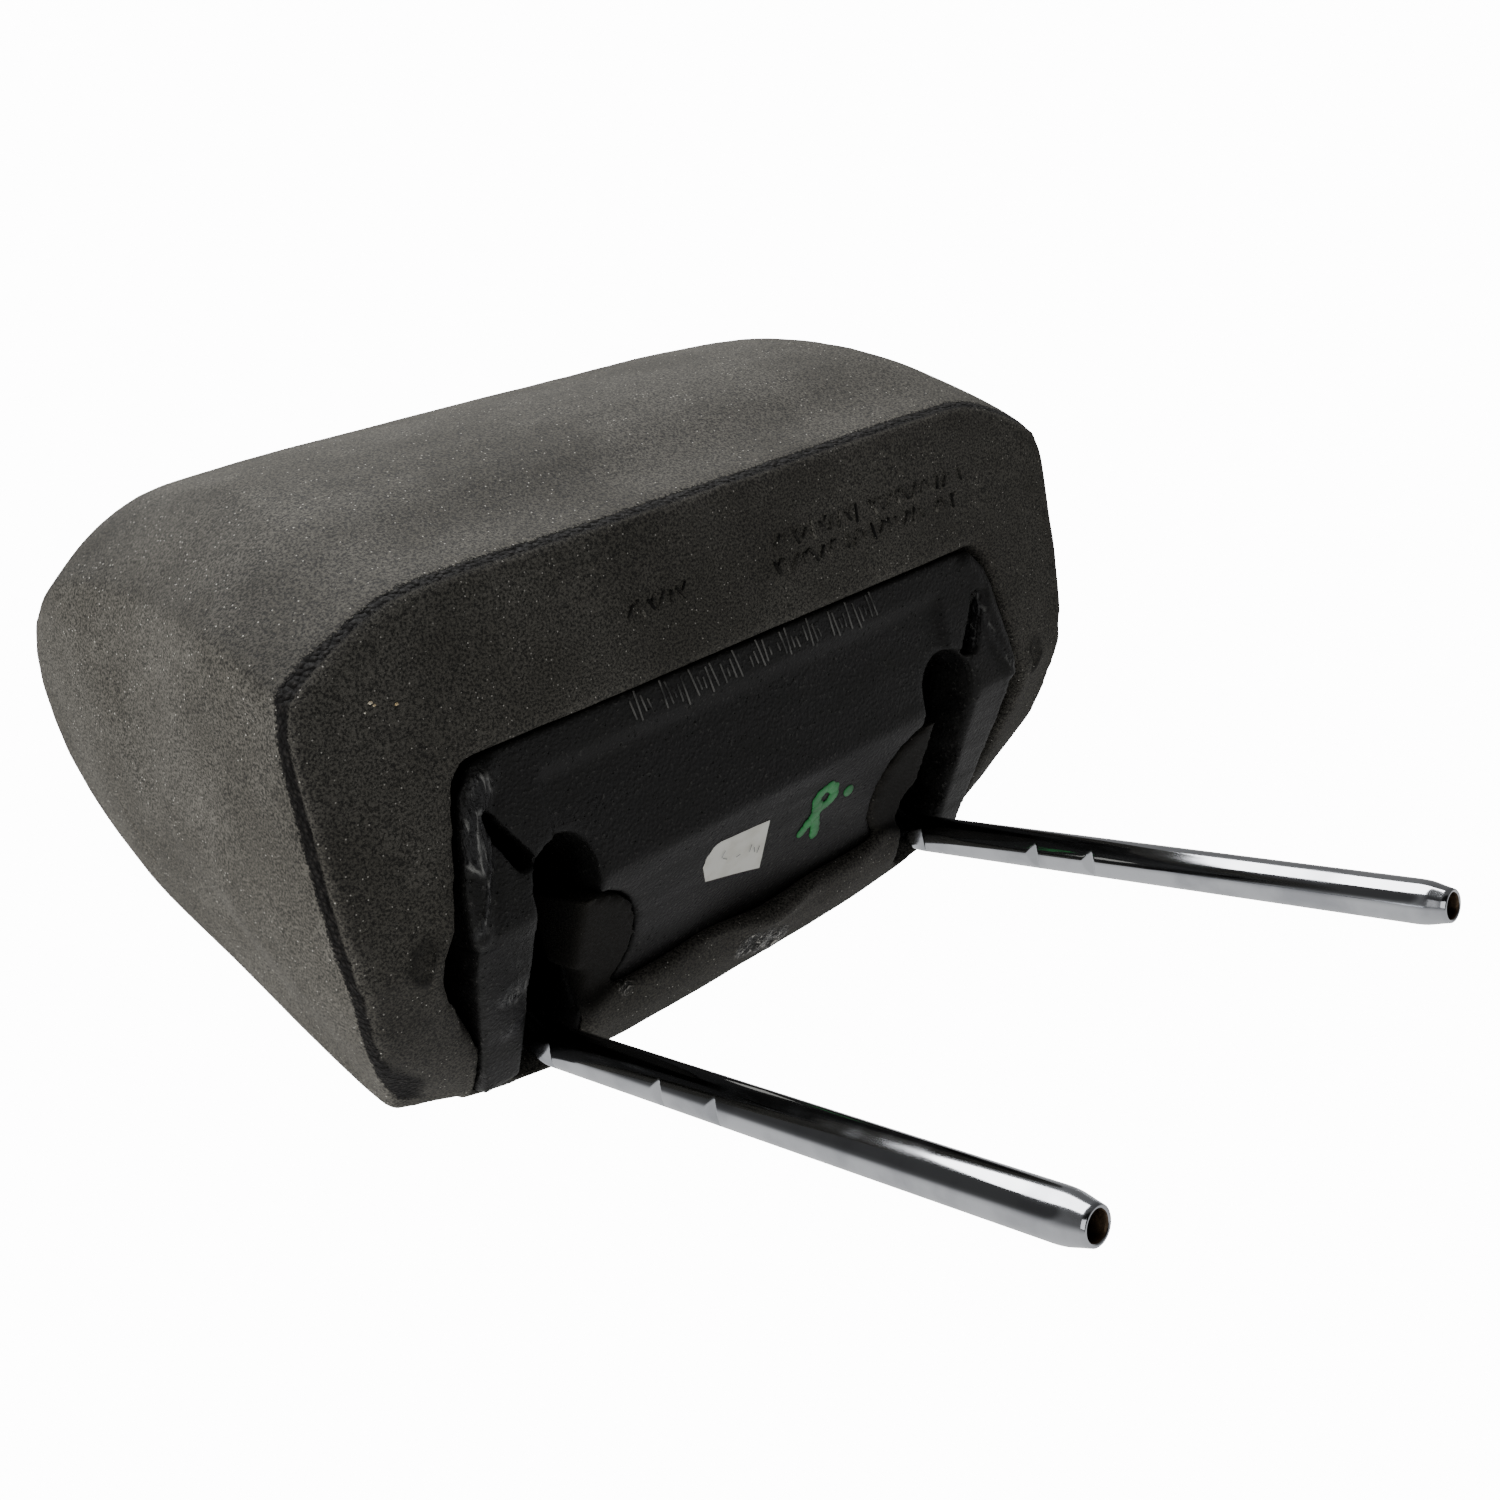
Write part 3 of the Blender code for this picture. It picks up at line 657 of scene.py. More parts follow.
    def tone(self, points: np.ndarray, normals: np.ndarray) -> np.ndarray:
        """Give the skin's broad brightness: painted shade on the corner facets, towards the rear of the
        underside and in and around the dimples, clouded elsewhere.

        Args:
            points: One row for each point.
            normals: The surface direction at each point.

        Returns:
            Factors for the skin's colour.
        """
        across = np.abs(normals[:, 0])
        facet = ramp(across, 0.3, 0.5) * ramp(-across, -0.93, -0.8) * ramp(-normals[:, 1], 0.1, 0.4)
        cloud = undulation(points, 55 * MM, 6.3) + 0.6 * undulation(points, 21 * MM, 2.9)
        low = ramp(-normals[:, 2], 0.4, 0.7)
        rear = ramp(points[:, 1], -62 * MM, -25 * MM) * low
        away = self.from_dimple(points)
        ring = bell(away, self.dimple_radius, 1.1 * MM) * low
        inside = ramp(-away, -self.dimple_radius, -self.dimple_radius * 0.5) * low
        # Painted shade on the facets, towards the rear of the underside and in and around the dimples; the
        # clouds are random tone.
        broad = 1 - self.facet_shade * facet + self.cloud_shade * cloud - self.rear_shade * rear
        return broad * (1 - self.ring_shade * ring) * (1 - self.dimple_shade * inside)

    def well_shade(self, points: np.ndarray) -> np.ndarray:
        """Mask the foam that fills the wells beside the posts, painted dark as shade.

        Args:
            points: One row for each point.

        Returns:
            Near one in the wells and zero elsewhere.
        """
        away = np.hypot(np.abs(points[:, 0]) - self.well_x, points[:, 1] - self.well_y)
        below = ramp(-points[:, 2], -self.well_top, -self.well_top + 7 * MM)
        return 0.92 * ramp(-away, -self.well_radius - 4 * MM, -self.well_radius + 3 * MM) * below

    def sculpt(self, points: np.ndarray, normals: np.ndarray, height: np.ndarray, outer: np.ndarray,
               film: np.ndarray) -> np.ndarray:
        """Move the points into the pad's waves, parting groove, dimples, lip and arches.

        Args:
            points: One row for each point.
            normals: The surface direction at each point.
            height: Distance above the underside.
            outer: One where the parting line runs, zero elsewhere.
            film: Where the skin is wet and crumpled.

        Returns:
            The moved points.
        """
        side = np.abs(points[:, 0])
        push = 0.5 * MM * undulation(points, 48 * MM, 3.1) + 0.1 * MM * undulation(points, 9 * MM, 8.4)
        push -= self.groove_depth * outer * bell(height, self.groove_height, self.groove_width)
        push += self.corner_bead * near_line(points, self.corner_line, 2.2) * (height < 6 * MM)
        away, low = self.from_dimple(points), height < 7 * MM
        push -= self.dimple_depth * low * ramp(-away, -self.dimple_radius, -self.dimple_radius * 0.6)
        push += self.dimple_rim * low * bell(away, self.dimple_radius, 0.9 * MM)
        crease = near_line(points[:, [1, 2]], self.crease_line, 2.4)
        push -= self.crease_depth * crease * (points[:, 0] < -100 * MM)
        lip = ramp(-side, -self.lip_half, -self.lip_half + 8 * MM)
        lip *= ramp(points[:, 1], -12 * MM, -6 * MM) * (height < 9 * MM)
        wave = np.sin(points[:, 0] / (15 * MM) + 0.8) + 0.6 * np.sin(points[:, 0] / (6.7 * MM) + 1.0)
        roll = bell(points[:, 1], self.lip_y, self.lip_width)
        push += (self.lip_swell + self.lip_wave * wave) * roll * lip
        push += self.wet_relief * film * undulation(points, 3.4 * MM, 5.5)
        moved = points + normals * push[:, None]
        moved[:, 1] += self.lip_sway * wave * lip * ramp(-points[:, 1], 0, 5 * MM)
        arch = ramp(side, 103 * MM, 107 * MM) * ramp(-side, -123 * MM, -113 * MM)
        arch *= ramp(-height, -21 * MM, -12 * MM) * (points[:, 1] > -90 * MM)
        shift = np.interp(points[:, 1] / MM, self.arch_y, self.arch_shift) * MM
        moved[:, 0] += np.sign(points[:, 0]) * shift * arch
        return moved


@dataclass
class Core:
    """The black moulded core, with its raised wings and the steps on them.

    The lines are given in millimetres, all else in metres.
    """

    solid: Object
    plastic: Material
    voxel: float = 1.25 * MM
    rounds: int = 4
    wing_x: float = 89 * MM
    fold_y: float = -48 * MM
    fold_z: float = 1 * MM
    slope: float = math.tan(math.radians(30))
    bead_line: Line = ((94, -89), (100, -79), (102.6, -68), (105, -58), (107.5, -50))
    bead_height: float = 1.5 * MM
    crease_line: Line = ((93.5, -82), (95.8, -74), (98.3, -64), (101.8, -56), (107, -50))
    crease_depth: float = 0.5 * MM
    facet_line: Line = ((98.5, -61), (101.5, -52), (104, -45))
    facet_depth: float = 0.25 * MM
    step_y: float = -43.5 * MM
    step_depth: float = 0.3 * MM
    slit_line: Line = ((98.5, -79.5), (89.5, -63.5))
    slit_lean: float = 0.553
    slit_spread: float = 1.0 * MM
    wet_relief: float = 0.55 * MM
    wet_bead: Line = ((96, -86), (101, -77), (102.5, -68))
    wet_edge: Line = ((96.5, -76), (100, -64), (103.5, -57), (107, -51))
    wet_wall: Line = ((100, -78), (95, -66), (92, -58))
    wet_patches: Marks = ((-95.5, -27, 13.5, 9, 0.9), (-95.5, -14, 21.5, 8, 0.6), (-95.5, -36, 8.5, 6, 0.45))

    def build(self) -> Object:
        """Build the core.

        Returns:
            The piece that stands for the core node.
        """
        piece = remeshed_copy(self.solid, "core_body", self.voxel, self.rounds)
        mesh = piece.data
        points, normals = read_points(mesh)
        side = np.abs(points[:, 0])
        height = points[:, 2] - self.fold_z - np.clip(points[:, 1] - self.fold_y, 0, None) * self.slope
        low = ramp(-height, -6 * MM, -2 * MM)
        wing = low * ramp(side, self.wing_x - 3 * MM, self.wing_x + 1 * MM)
        film = self.wet_marks(points, low)
        push = 0.18 * MM * undulation(points, 22 * MM, 1.7) + 0.05 * MM * undulation(points, 5 * MM, 4.2)
        push += self.bead_height * near_line(points, self.bead_line, 5.0) * low
        push -= self.crease_depth * near_line(points, self.crease_line, 1.8) * low
        push -= self.facet_depth * near_line(points, self.facet_line, 1.6) * wing
        step = ramp(points[:, 1], self.step_y - 0.7 * MM, self.step_y + 0.7 * MM)
        push -= self.step_depth * step * wing * ramp(-side, -106 * MM, -104 * MM)
        push += self.wet_relief * film * undulation(points, 3.0 * MM, 9.1)
        write_field(mesh, "film", film)
        moved = points + normals * push[:, None]
        slit_x, slit_y = self.slit_line[0]
        outward = np.sign(side - slit_x * MM + self.slit_lean * (points[:, 1] - slit_y * MM))
        spread = near_line(points, self.slit_line, 6.0) * low * outward * (points[:, 0] > 0)
        moved[:, 0] += self.slit_spread * spread
        write_points(mesh, moved)
        finish_piece(piece, self.plastic, Body.PAD, Slot.CORE)
        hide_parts("core")
        return piece

    def wet_marks(self, points: np.ndarray, low: np.ndarray) -> np.ndarray:
        """Mask the glossy crumpled skin on the beads, in the gaps and low on the left wing, where highlights
        are painted.

        Args:
            points: One row for each point.
            low: One near the core's underside, zero elsewhere.

        Returns:
            The mask.
        """
        left, right = points[:, 0] < 0, points[:, 0] > 0
        bead = near_line(points, self.wet_bead, 6.0)
        # A thin painted highlight runs along the edge of each wing.
        edge = near_line(points, self.wet_edge, 2.6)
        film = np.where(left, np.maximum(bead, 0.8 * edge), np.maximum(0.2 * bead, 0.55 * edge)) * low
        # Painted highlights on the outer wall of the right slit.
        wall = near_line(points, self.wet_wall, 3.2) * (points[:, 2] > 2.5 * MM) * right
        return np.maximum.reduce([film, wall, near_spots(points, self.wet_patches)])


@dataclass
class PostTube:
    """The hollow bent tube: drawn-in tips, pressed notches, knees and crossbar."""

    chrome: Material
    bore: Material
    sides: int = 72
    half: float = 79 * MM
    radius: float = 6 * MM
    bore_radius: float = 3.3 * MM
    bore_depth: float = 14 * MM
    tip_z: float = -153 * MM
    knee_z: float = 30.7 * MM
    knee_radius: float = 20 * MM
    knee_steps: int = 10
    corner_radius: float = 22 * MM
    corner_steps: int = 16
    pivot_y: float = -45 * MM
    pivot_z: float = 100 * MM
    notches: Line = ((23 * MM, 9 * MM), (-24 * MM, 3.5 * MM), (-45 * MM, 3.5 * MM))
    notch_depth: float = 1.6 * MM
    notch_edge: float = 1.2 * MM
    notch_curve: float = 1.4
    notch_grid: float = 0.35 * MM
    notch_top: float = 24.1 * MM
    plain_levels: tuple[float, ...] = (-140, -110, -80, -58, -34, -10, 10, 24.7)

    @property
    def lean(self) -> float:
        """How far the arms lean forward above the knees."""
        return math.atan2(-self.pivot_y, self.pivot_z - self.knee_z)

    @property
    def setback(self) -> float:
        """How far below its corner each knee's bend starts."""
        return self.knee_radius * math.tan(self.lean / 2)

    def profile(self) -> list[tuple[float, float]]:
        """Give one tip's outline from the bore outward.

        Returns:
            Radius and height above the tip, for each ring.
        """
        rounded = ((0, 1.0), (0.25, 0.25), (0.7, 0.0), (0.95, 0.05), (1.2, 0.3), (1.45, 1.4),
                   (1.75, 2.8), (2.15, 4.4), (2.45, 5.8))
        return [(self.bore_radius, self.bore_depth),
                *((self.bore_radius + out * MM, up * MM) for out, up in rounded),
                (self.radius - 0.08 * MM, 7.2 * MM), (self.radius, 8.8 * MM)]

    def levels(self) -> list[float]:
        """Give the ring heights of the straight leg, close together at the notches.

        Returns:
            Heights from the lowest to the start of the knee.
        """
        heights = set()
        for place, run in self.notches:
            count = int((run + 4 * MM) / self.notch_grid)
            heights |= {round(place - 2 * MM + self.notch_grid * k, 6) for k in range(count)}
        top = self.knee_z - self.setback
        heights = {h for h in heights if h < self.notch_top}
        heights |= {level * MM for level in self.plain_levels} | {top}
        return sorted(h for h in heights if h <= top + 1e-9)

    def build(self) -> Object:
        """Build the whole tube from one tip to the other.

        Returns:
            The piece that stands for the tube node.
        """
        work = bmesh.new()
        self.build_arm(work, self.build_leg(work))
        half = list(work.verts) + list(work.edges) + list(work.faces)
        copied = bmesh.ops.duplicate(work, geom=half)["geom"]
        other = [v for v in copied if isinstance(v, BMVert)]
        bmesh.ops.scale(work, verts=other, vec=Vector((-1, 1, 1)))
        middle = [v for v in work.verts if abs(v.co.x) < 1e-5]
        bmesh.ops.remove_doubles(work, verts=middle, dist=1e-6)
        self.press_notches(work)
        # The bores end deep inside the legs, where their rims are closed.
        bmesh.ops.holes_fill(work, edges=[e for e in work.edges if e.is_boundary], sides=0)
        bmesh.ops.recalc_face_normals(work, faces=work.faces)
        piece = finish_piece(place_mesh("chromed_tube", work), self.chrome, Body.ARMATURE, Slot.CHROME)
        piece.data.materials.append(self.bore)
        for face in piece.data.polygons:
            away = math.hypot(abs(face.center.x) - self.half, face.center.y)
            low = face.center.z < self.tip_z + self.bore_depth + 1 * MM
            face.material_index = int(low and away < self.bore_radius + 0.32 * MM)
        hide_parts("armature_tube")
        return piece

    def build_leg(self, work: BMesh) -> list:
        """Build the left tip and the straight leg above it.

        Args:
            work: The mesh.

        Returns:
            The edges of the leg's upper end.
        """
        start = self.profile()
        first = Matrix.Translation((-self.half, 0, self.tip_z + start[0][1]))
        made = bmesh.ops.create_circle(work, segments=self.sides, radius=start[0][0], matrix=first)
        ring, edges = made["verts"], work.edges[:]
        for radius, height in start[1:]:
            edges, ring = self.grow(work, edges)
            now = math.hypot(ring[0].co.x + self.half, ring[0].co.y)
            for vert in ring:
                flat = (vert.co - Vector((-self.half, 0, 0))) * (radius / now)
                vert.co = Vector((flat.x - self.half, flat.y, self.tip_z + height))
        for height in self.levels():
            edges, ring = self.grow(work, edges)
            for vert in ring:
                vert.co.z = height
        return edges

    def build_arm(self, work: BMesh, edges: list) -> None:
        """Bend the leg forward at the knee and round the corner to the middle of the crossbar.

        Args:
            work: The mesh, with the leg in it.
            edges: The edges of the leg's upper end.
        """
        centre = Vector((-self.half, -self.knee_radius, self.knee_z - self.setback))
        edges = self.turn(work, edges, centre, Vector((1, 0, 0)), self.lean, self.knee_steps)
        along = Vector((0, -math.sin(self.lean), math.cos(self.lean)))
        corner = Vector((-self.half, self.pivot_y, self.pivot_z))
        knee = Vector((-self.half, 0, self.knee_z))
        straight = (corner - knee).length - self.setback - self.corner_radius
        edges, ring = self.grow(work, edges)
        bmesh.ops.translate(work, verts=ring, vec=along * straight)
        bend = corner - along * self.corner_radius + Vector((self.corner_radius, 0, 0))
        edges = self.turn(work, edges, bend, along.cross(Vector((1, 0, 0))), math.pi / 2, self.corner_steps)
        _, ring = self.grow(work, edges)
        for vert in ring:
            vert.co.x = 0.0

    @staticmethod
    def grow(work: BMesh, edges: list) -> tuple[list, list]:
        """Extrude an edge loop in place.

        Args:
            work: The mesh.
            edges: The loop's edges.

        Returns:
            The new loop's edges and points.
        """
        made = bmesh.ops.extrude_edge_only(work, edges=edges)["geom"]
        return ([g for g in made if isinstance(g, BMEdge)],
                [g for g in made if isinstance(g, BMVert)])

    @staticmethod
    def turn(work: BMesh, edges: list, centre: Vector, axis: Vector, angle: float,
             count: int) -> list:
        """Spin an edge loop about an axis.

        Args:
            work: The mesh.
            edges: The loop's edges.
            centre: A point on the axis.
            axis: The axis of the bend.
            angle: How far it bends.
            count: Number of steps.

        Returns:
            The last loop's edges.
        """
        made = bmesh.ops.spin(work, geom=edges, cent=centre, axis=axis, dvec=Vector(), angle=angle,
                              steps=count, use_duplicate=False)["geom_last"]
        return [g for g in made if isinstance(g, BMEdge)]

    def press_notches(self, work: BMesh) -> None:
        """Press the latch notches into the -X side of both legs.

        Args:
            work: The mesh.
        """
        for vert in work.verts:
            axis_x = math.copysign(self.half, vert.co.x)
            away = math.hypot(vert.co.x - axis_x, vert.co.y)
            if abs(vert.co.x) < self.half - 7 * MM or away < self.radius - 0.5 * MM:
                continue
            for place, run in self.notches:
                over = vert.co.z - place
                if -self.notch_edge <= over <= run:
                    share = 1 + over / self.notch_edge if over < 0 else (1 - over / run) ** self.notch_curve
                    vert.co.x = max(vert.co.x, axis_x - self.radius + self.notch_depth * share)


@dataclass
class PaperLabel:
    """The torn paper label, curling a little at its free corner.

    The outline and the marks are given in millimetres: across, and up the slope from the fold.
    """

    paper: Material
    ink: Material
    thickness: float = 0.16 * MM
    gap: float = 0.12 * MM
    curl: float = 0.35 * MM
    cuts: int = 4
    outline: Line = ((-26.7, 17.2), (-26.3, 15.2), (-26.1, 13.4), (-25.0, 12.1), (-24.1, 10.6), (-22.9, 9.9),
                     (-21.4, 9.6), (-1.4, 11.2), (-0.6, 31.0), (-12.5, 27.4), (-24.3, 24.0))
    marks: tuple[tuple[float, float, float, float], ...] = (
        (-19.5, 15.2, 2.6, 0.4), (-18.4, 17.6, 2.4, -1.0), (-12.6, 19.4, 1.6, 1.4),
        (-7.6, 19.0, 2.8, 0.1), (-5.6, 20.6, 2.4, -0.3), (-3.8, 21.4, 2.6, 0.2))

    def build(self) -> Object:
        """Build the label.

        Returns:
            The piece that stands for the label node.
        """
        work = bmesh.new()
        face = work.faces.new([work.verts.new((x * MM, up * MM, 0)) for x, up in self.outline])
        bmesh.ops.triangulate(work, faces=[face])
        for _ in range(self.cuts):
            bmesh.ops.subdivide_edges(work, edges=work.edges[:], cuts=1, use_grid_fill=True)
        for vert in work.verts:
            free = max(0.0, (vert.co.x + 8 * MM) / (10 * MM))
            lift = self.curl * free ** 2 + 0.05 * MM * noise.noise(vert.co * 300)
            vert.co.z = -self.gap - max(lift, 0.0)
        bmesh.ops.recalc_face_normals(work, faces=work.faces)
        bmesh.ops.solidify(work, geom=work.faces[:], thickness=self.thickness)
        bmesh.ops.transform(work, matrix=PAN_PLACE, verts=work.verts)
        bmesh.ops.recalc_face_normals(work, faces=work.faces)
        piece = finish_piece(place_mesh("paper_label", work), self.paper, Body.PAD, Slot.PAPER, smooth=False)
        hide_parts("label")
        return piece

    def build_marks(self) -> Object:
        """Build a few plain worn strokes on the label.

        Returns:
            The piece.
        """
        work = bmesh.new()
        for x, up, length, turn in self.marks:
            made = bmesh.ops.create_cube(work, size=1.0)["verts"]
            size = Matrix.Diagonal((0.3 * MM, length * MM, 0.06 * MM, 1))
            where = Matrix.Translation((x * MM, up * MM, -0.52 * MM)) @ Matrix.Rotation(turn, 4, "Z")
            bmesh.ops.transform(work, matrix=PAN_PLACE @ where @ size, verts=made)
        return finish_piece(place_mesh("label_marks", work), self.ink, Body.PAD, Slot.PAPER, smooth=False)


@dataclass
class PaintDaub:
    """The green paint daub on the sloping pan, in millimetres across and up the slope."""

    paint: Material
    loop_centre: tuple[float, float] = (23.5, 14.2)
    loop_size: tuple[float, float] = (3.9, 3.7)
    loop_blobs: int = 23
    arm_blobs: int = 10
    tail: tuple[float, ...] = (22.6, -0.72, 17.9, 0.8)
    foot: tuple[float, ...] = (20.6, 0.26, 19.4, 1.1)
    dot: Line = ((34.4, 16.8), (35.0, 17.3))
    brush: float = 2.05
    flatness: float = 0.16

    def build(self) -> Object:
        """Build the daub as a row of flattened blobs along each stroke.

        Returns:
            The piece.
        """
        angles = [math.radians(20 + 320 * k / (self.loop_blobs - 1)) for k in range(self.loop_blobs)]
        blobs = [(self.loop_centre[0] + self.loop_size[0] * math.cos(a),
                  self.loop_centre[1] + self.loop_size[1] * math.sin(a)) for a in angles]
        for x, x_step, up, up_step in (self.tail, self.foot):
            blobs += [(x + x_step * k, up + up_step * k) for k in range(self.arm_blobs)]
        work = bmesh.new()
        for index, (x, up) in enumerate([*blobs, *self.dot]):
            size = (self.brush + 0.7 * noise.noise(Vector((x, up, 0.3)) * 0.9)) * MM
            wobble = 0.35 * noise.noise(Vector((up, x, index * 0.4)))
            where = Matrix.Translation(((x + wobble) * MM, (up - wobble) * MM, -0.12 * MM))
            bmesh.ops.create_icosphere(work, subdivisions=2, radius=size,
                                       matrix=PAN_PLACE @ where @ Matrix.Diagonal((1, 1, self.flatness, 1)))
        return finish_piece(place_mesh("paint_daub", work), self.paint, Body.PAD, Slot.CORE)


@dataclass
class MouldMarks:
    """Plain raised strokes left by the moulds, and specks of lint."""

    foam: Object
    core: Object
    skin: Material
    rubbed: Material
    lint: Material
    core_groups: int = 9
    specks: tuple[Place, ...] = ((-119, -115, 0.7), (-118.2, -114.1, 0.5), (-112.6, -112.5, 0.6),
                                 (-121, -113.2, 0.35))

    @staticmethod
    def surface(piece: Object, x: float, y: float) -> float:
        """Find the height of a finished piece's underside at a place in plan."""
        return piece.closest_point_on_mesh(Vector((x, y, -3 * MM)))[1].z

    @staticmethod
    def stroke(work: BMesh, place: Place, size: Place, turn: float) -> None:
        """Add one bevelled bar that stands a little proud of the surface.

        Args:
            work: The mesh.
            place: The bar's middle, on the surface.
            size: The bar's width, length and stand-out.
            turn: Turn about the vertical.
        """
        width, length, proud = size
        made = bmesh.ops.create_cube(work, size=1.0)["verts"]
        bmesh.ops.scale(work, verts=made, vec=Vector((width, length, 2 * proud)))
        edges = list(dict.fromkeys(e for v in made for e in v.link_edges))
        bevelled = bmesh.ops.bevel(work, geom=edges, offset=min(width, 2 * proud) * 0.35, segments=1,
                                   affect="EDGES", profile=0.5, material=-1)
        corners = [v for f in bevelled["faces"] for v in f.verts] + [v for v in made if v.is_valid]
        move = Matrix.Translation(place) @ Matrix.Rotation(turn, 4, "Z")
        bmesh.ops.transform(work, matrix=move, verts=list(dict.fromkeys(corners)))

    def build_core_strokes(self) -> Object:
        """Build the rows of short ribs on the core's front strip.

        Returns:
            The piece.
        """
        work = bmesh.new()
        # The groups stand 11 mm apart and their ribs 1.9 mm. Sines keep any two from being alike.
        for group in range(self.core_groups):
            for rib in range(5 if group % 3 else 4):
                x = (-46 + 11.0 * group + 1.9 * rib) * MM
                y = (-88 - 0.8 * math.sin(group * 1.3 + rib)) * MM
                turn = math.radians(-10 + 4 * math.sin(group * 2.1 + rib * 1.7))
                length = (5.8 + 3.0 * math.sin(group + 1.7 * rib)) * MM
                place = (x, y, self.surface(self.core, x, y))
                self.stroke(work, place, (0.55 * MM, length, 0.3 * MM), turn)
        return finish_piece(place_mesh("core_ribs", work), self.rubbed, Body.PAD, Slot.CORE)

    def build_foam_strokes(self) -> Object:
        """Build the worn rows of short ribs on the foam's underside.

        Returns:
            The piece.
        """
        work = bmesh.new()
        # Two rows 7 mm apart, with a rib each 3.7 mm, and a short third row further left.
        rows = [(12 + 3.7 * k + 2 * row, -116.5 + 7 * row, row)
                for row in range(2) for k in range(24 - 2 * row)]
        rows += [(-40 + 3.6 * k, -113, 1) for k in range(6)]
        for index, (x, y, row) in enumerate(rows):
            if (index * 7 + row * 3) % 11 == 0:
                continue
            turn = math.radians(40 * math.sin(index * 1.9 + row * 2.3))
            length = (4.6 + 1.0 * math.sin(index * 2.7 + row)) * MM
            height = self.surface(self.foam, x * MM, y * MM)
            self.stroke(work, (x * MM, y * MM, height), (0.95 * MM, length, 0.6 * MM), turn)
            if index % 3 == 0:
                crossing = ((x + 1.3) * MM, (y - 1.6) * MM, height)
                self.stroke(work, crossing, (0.8 * MM, 2.6 * MM, 0.45 * MM), turn + 1.3)
        piece = finish_piece(place_mesh("foam_ribs", work), self.skin, Body.PAD, Slot.FOAM)
        points, _ = read_points(piece.data)
        rubbed = np.clip(0.5 + 2.4 * undulation(points, 2.2 * MM, 7.7), 0.05, 2.4)
        write_field(piece.data, "tone", rubbed)
        return piece

    def build_lint(self) -> Object:
        """Build the few specks of lint that lie on the foam's front edge.

        Returns:
            The piece.
        """
        work = bmesh.new()
        for x, y, size in self.specks:
            where = Vector((x * MM, y * MM, self.surface(self.foam, x * MM, y * MM)))
            bmesh.ops.create_icosphere(work, subdivisions=1, radius=size * MM,
                                       matrix=Matrix.Translation(where) @ Matrix.Diagonal((1, 0.7, 0.5, 1)))
        return finish_piece(place_mesh("lint_specks", work), self.lint, Body.PAD, Slot.FOAM)


@dataclass(frozen=True)
class SoftLight:
    """A rectangular soft light: where it stands, what it faces, its size in metres and its watts."""

    name: str
    place: Place
    aim: Place
    size: tuple[float, float]
    power: float
    mirrored: bool = True

    def build(self) -> None:
        """Put the light in the scene."""
        lamp = bpy.data.lights.new(self.name, "AREA")
        lamp.shape = "RECTANGLE"
        lamp.size, lamp.size_y = self.size
        lamp.energy = self.power
        holder = bpy.data.objects.new(self.name, lamp)
        bpy.context.scene.collection.objects.link(holder)
        holder.visible_glossy = self.mirrored
        away = (Vector(self.place) - Vector(self.aim)).to_track_quat("Z", "Y")
        holder.matrix_world = Matrix.Translation(self.place) @ away.to_matrix().to_4x4()


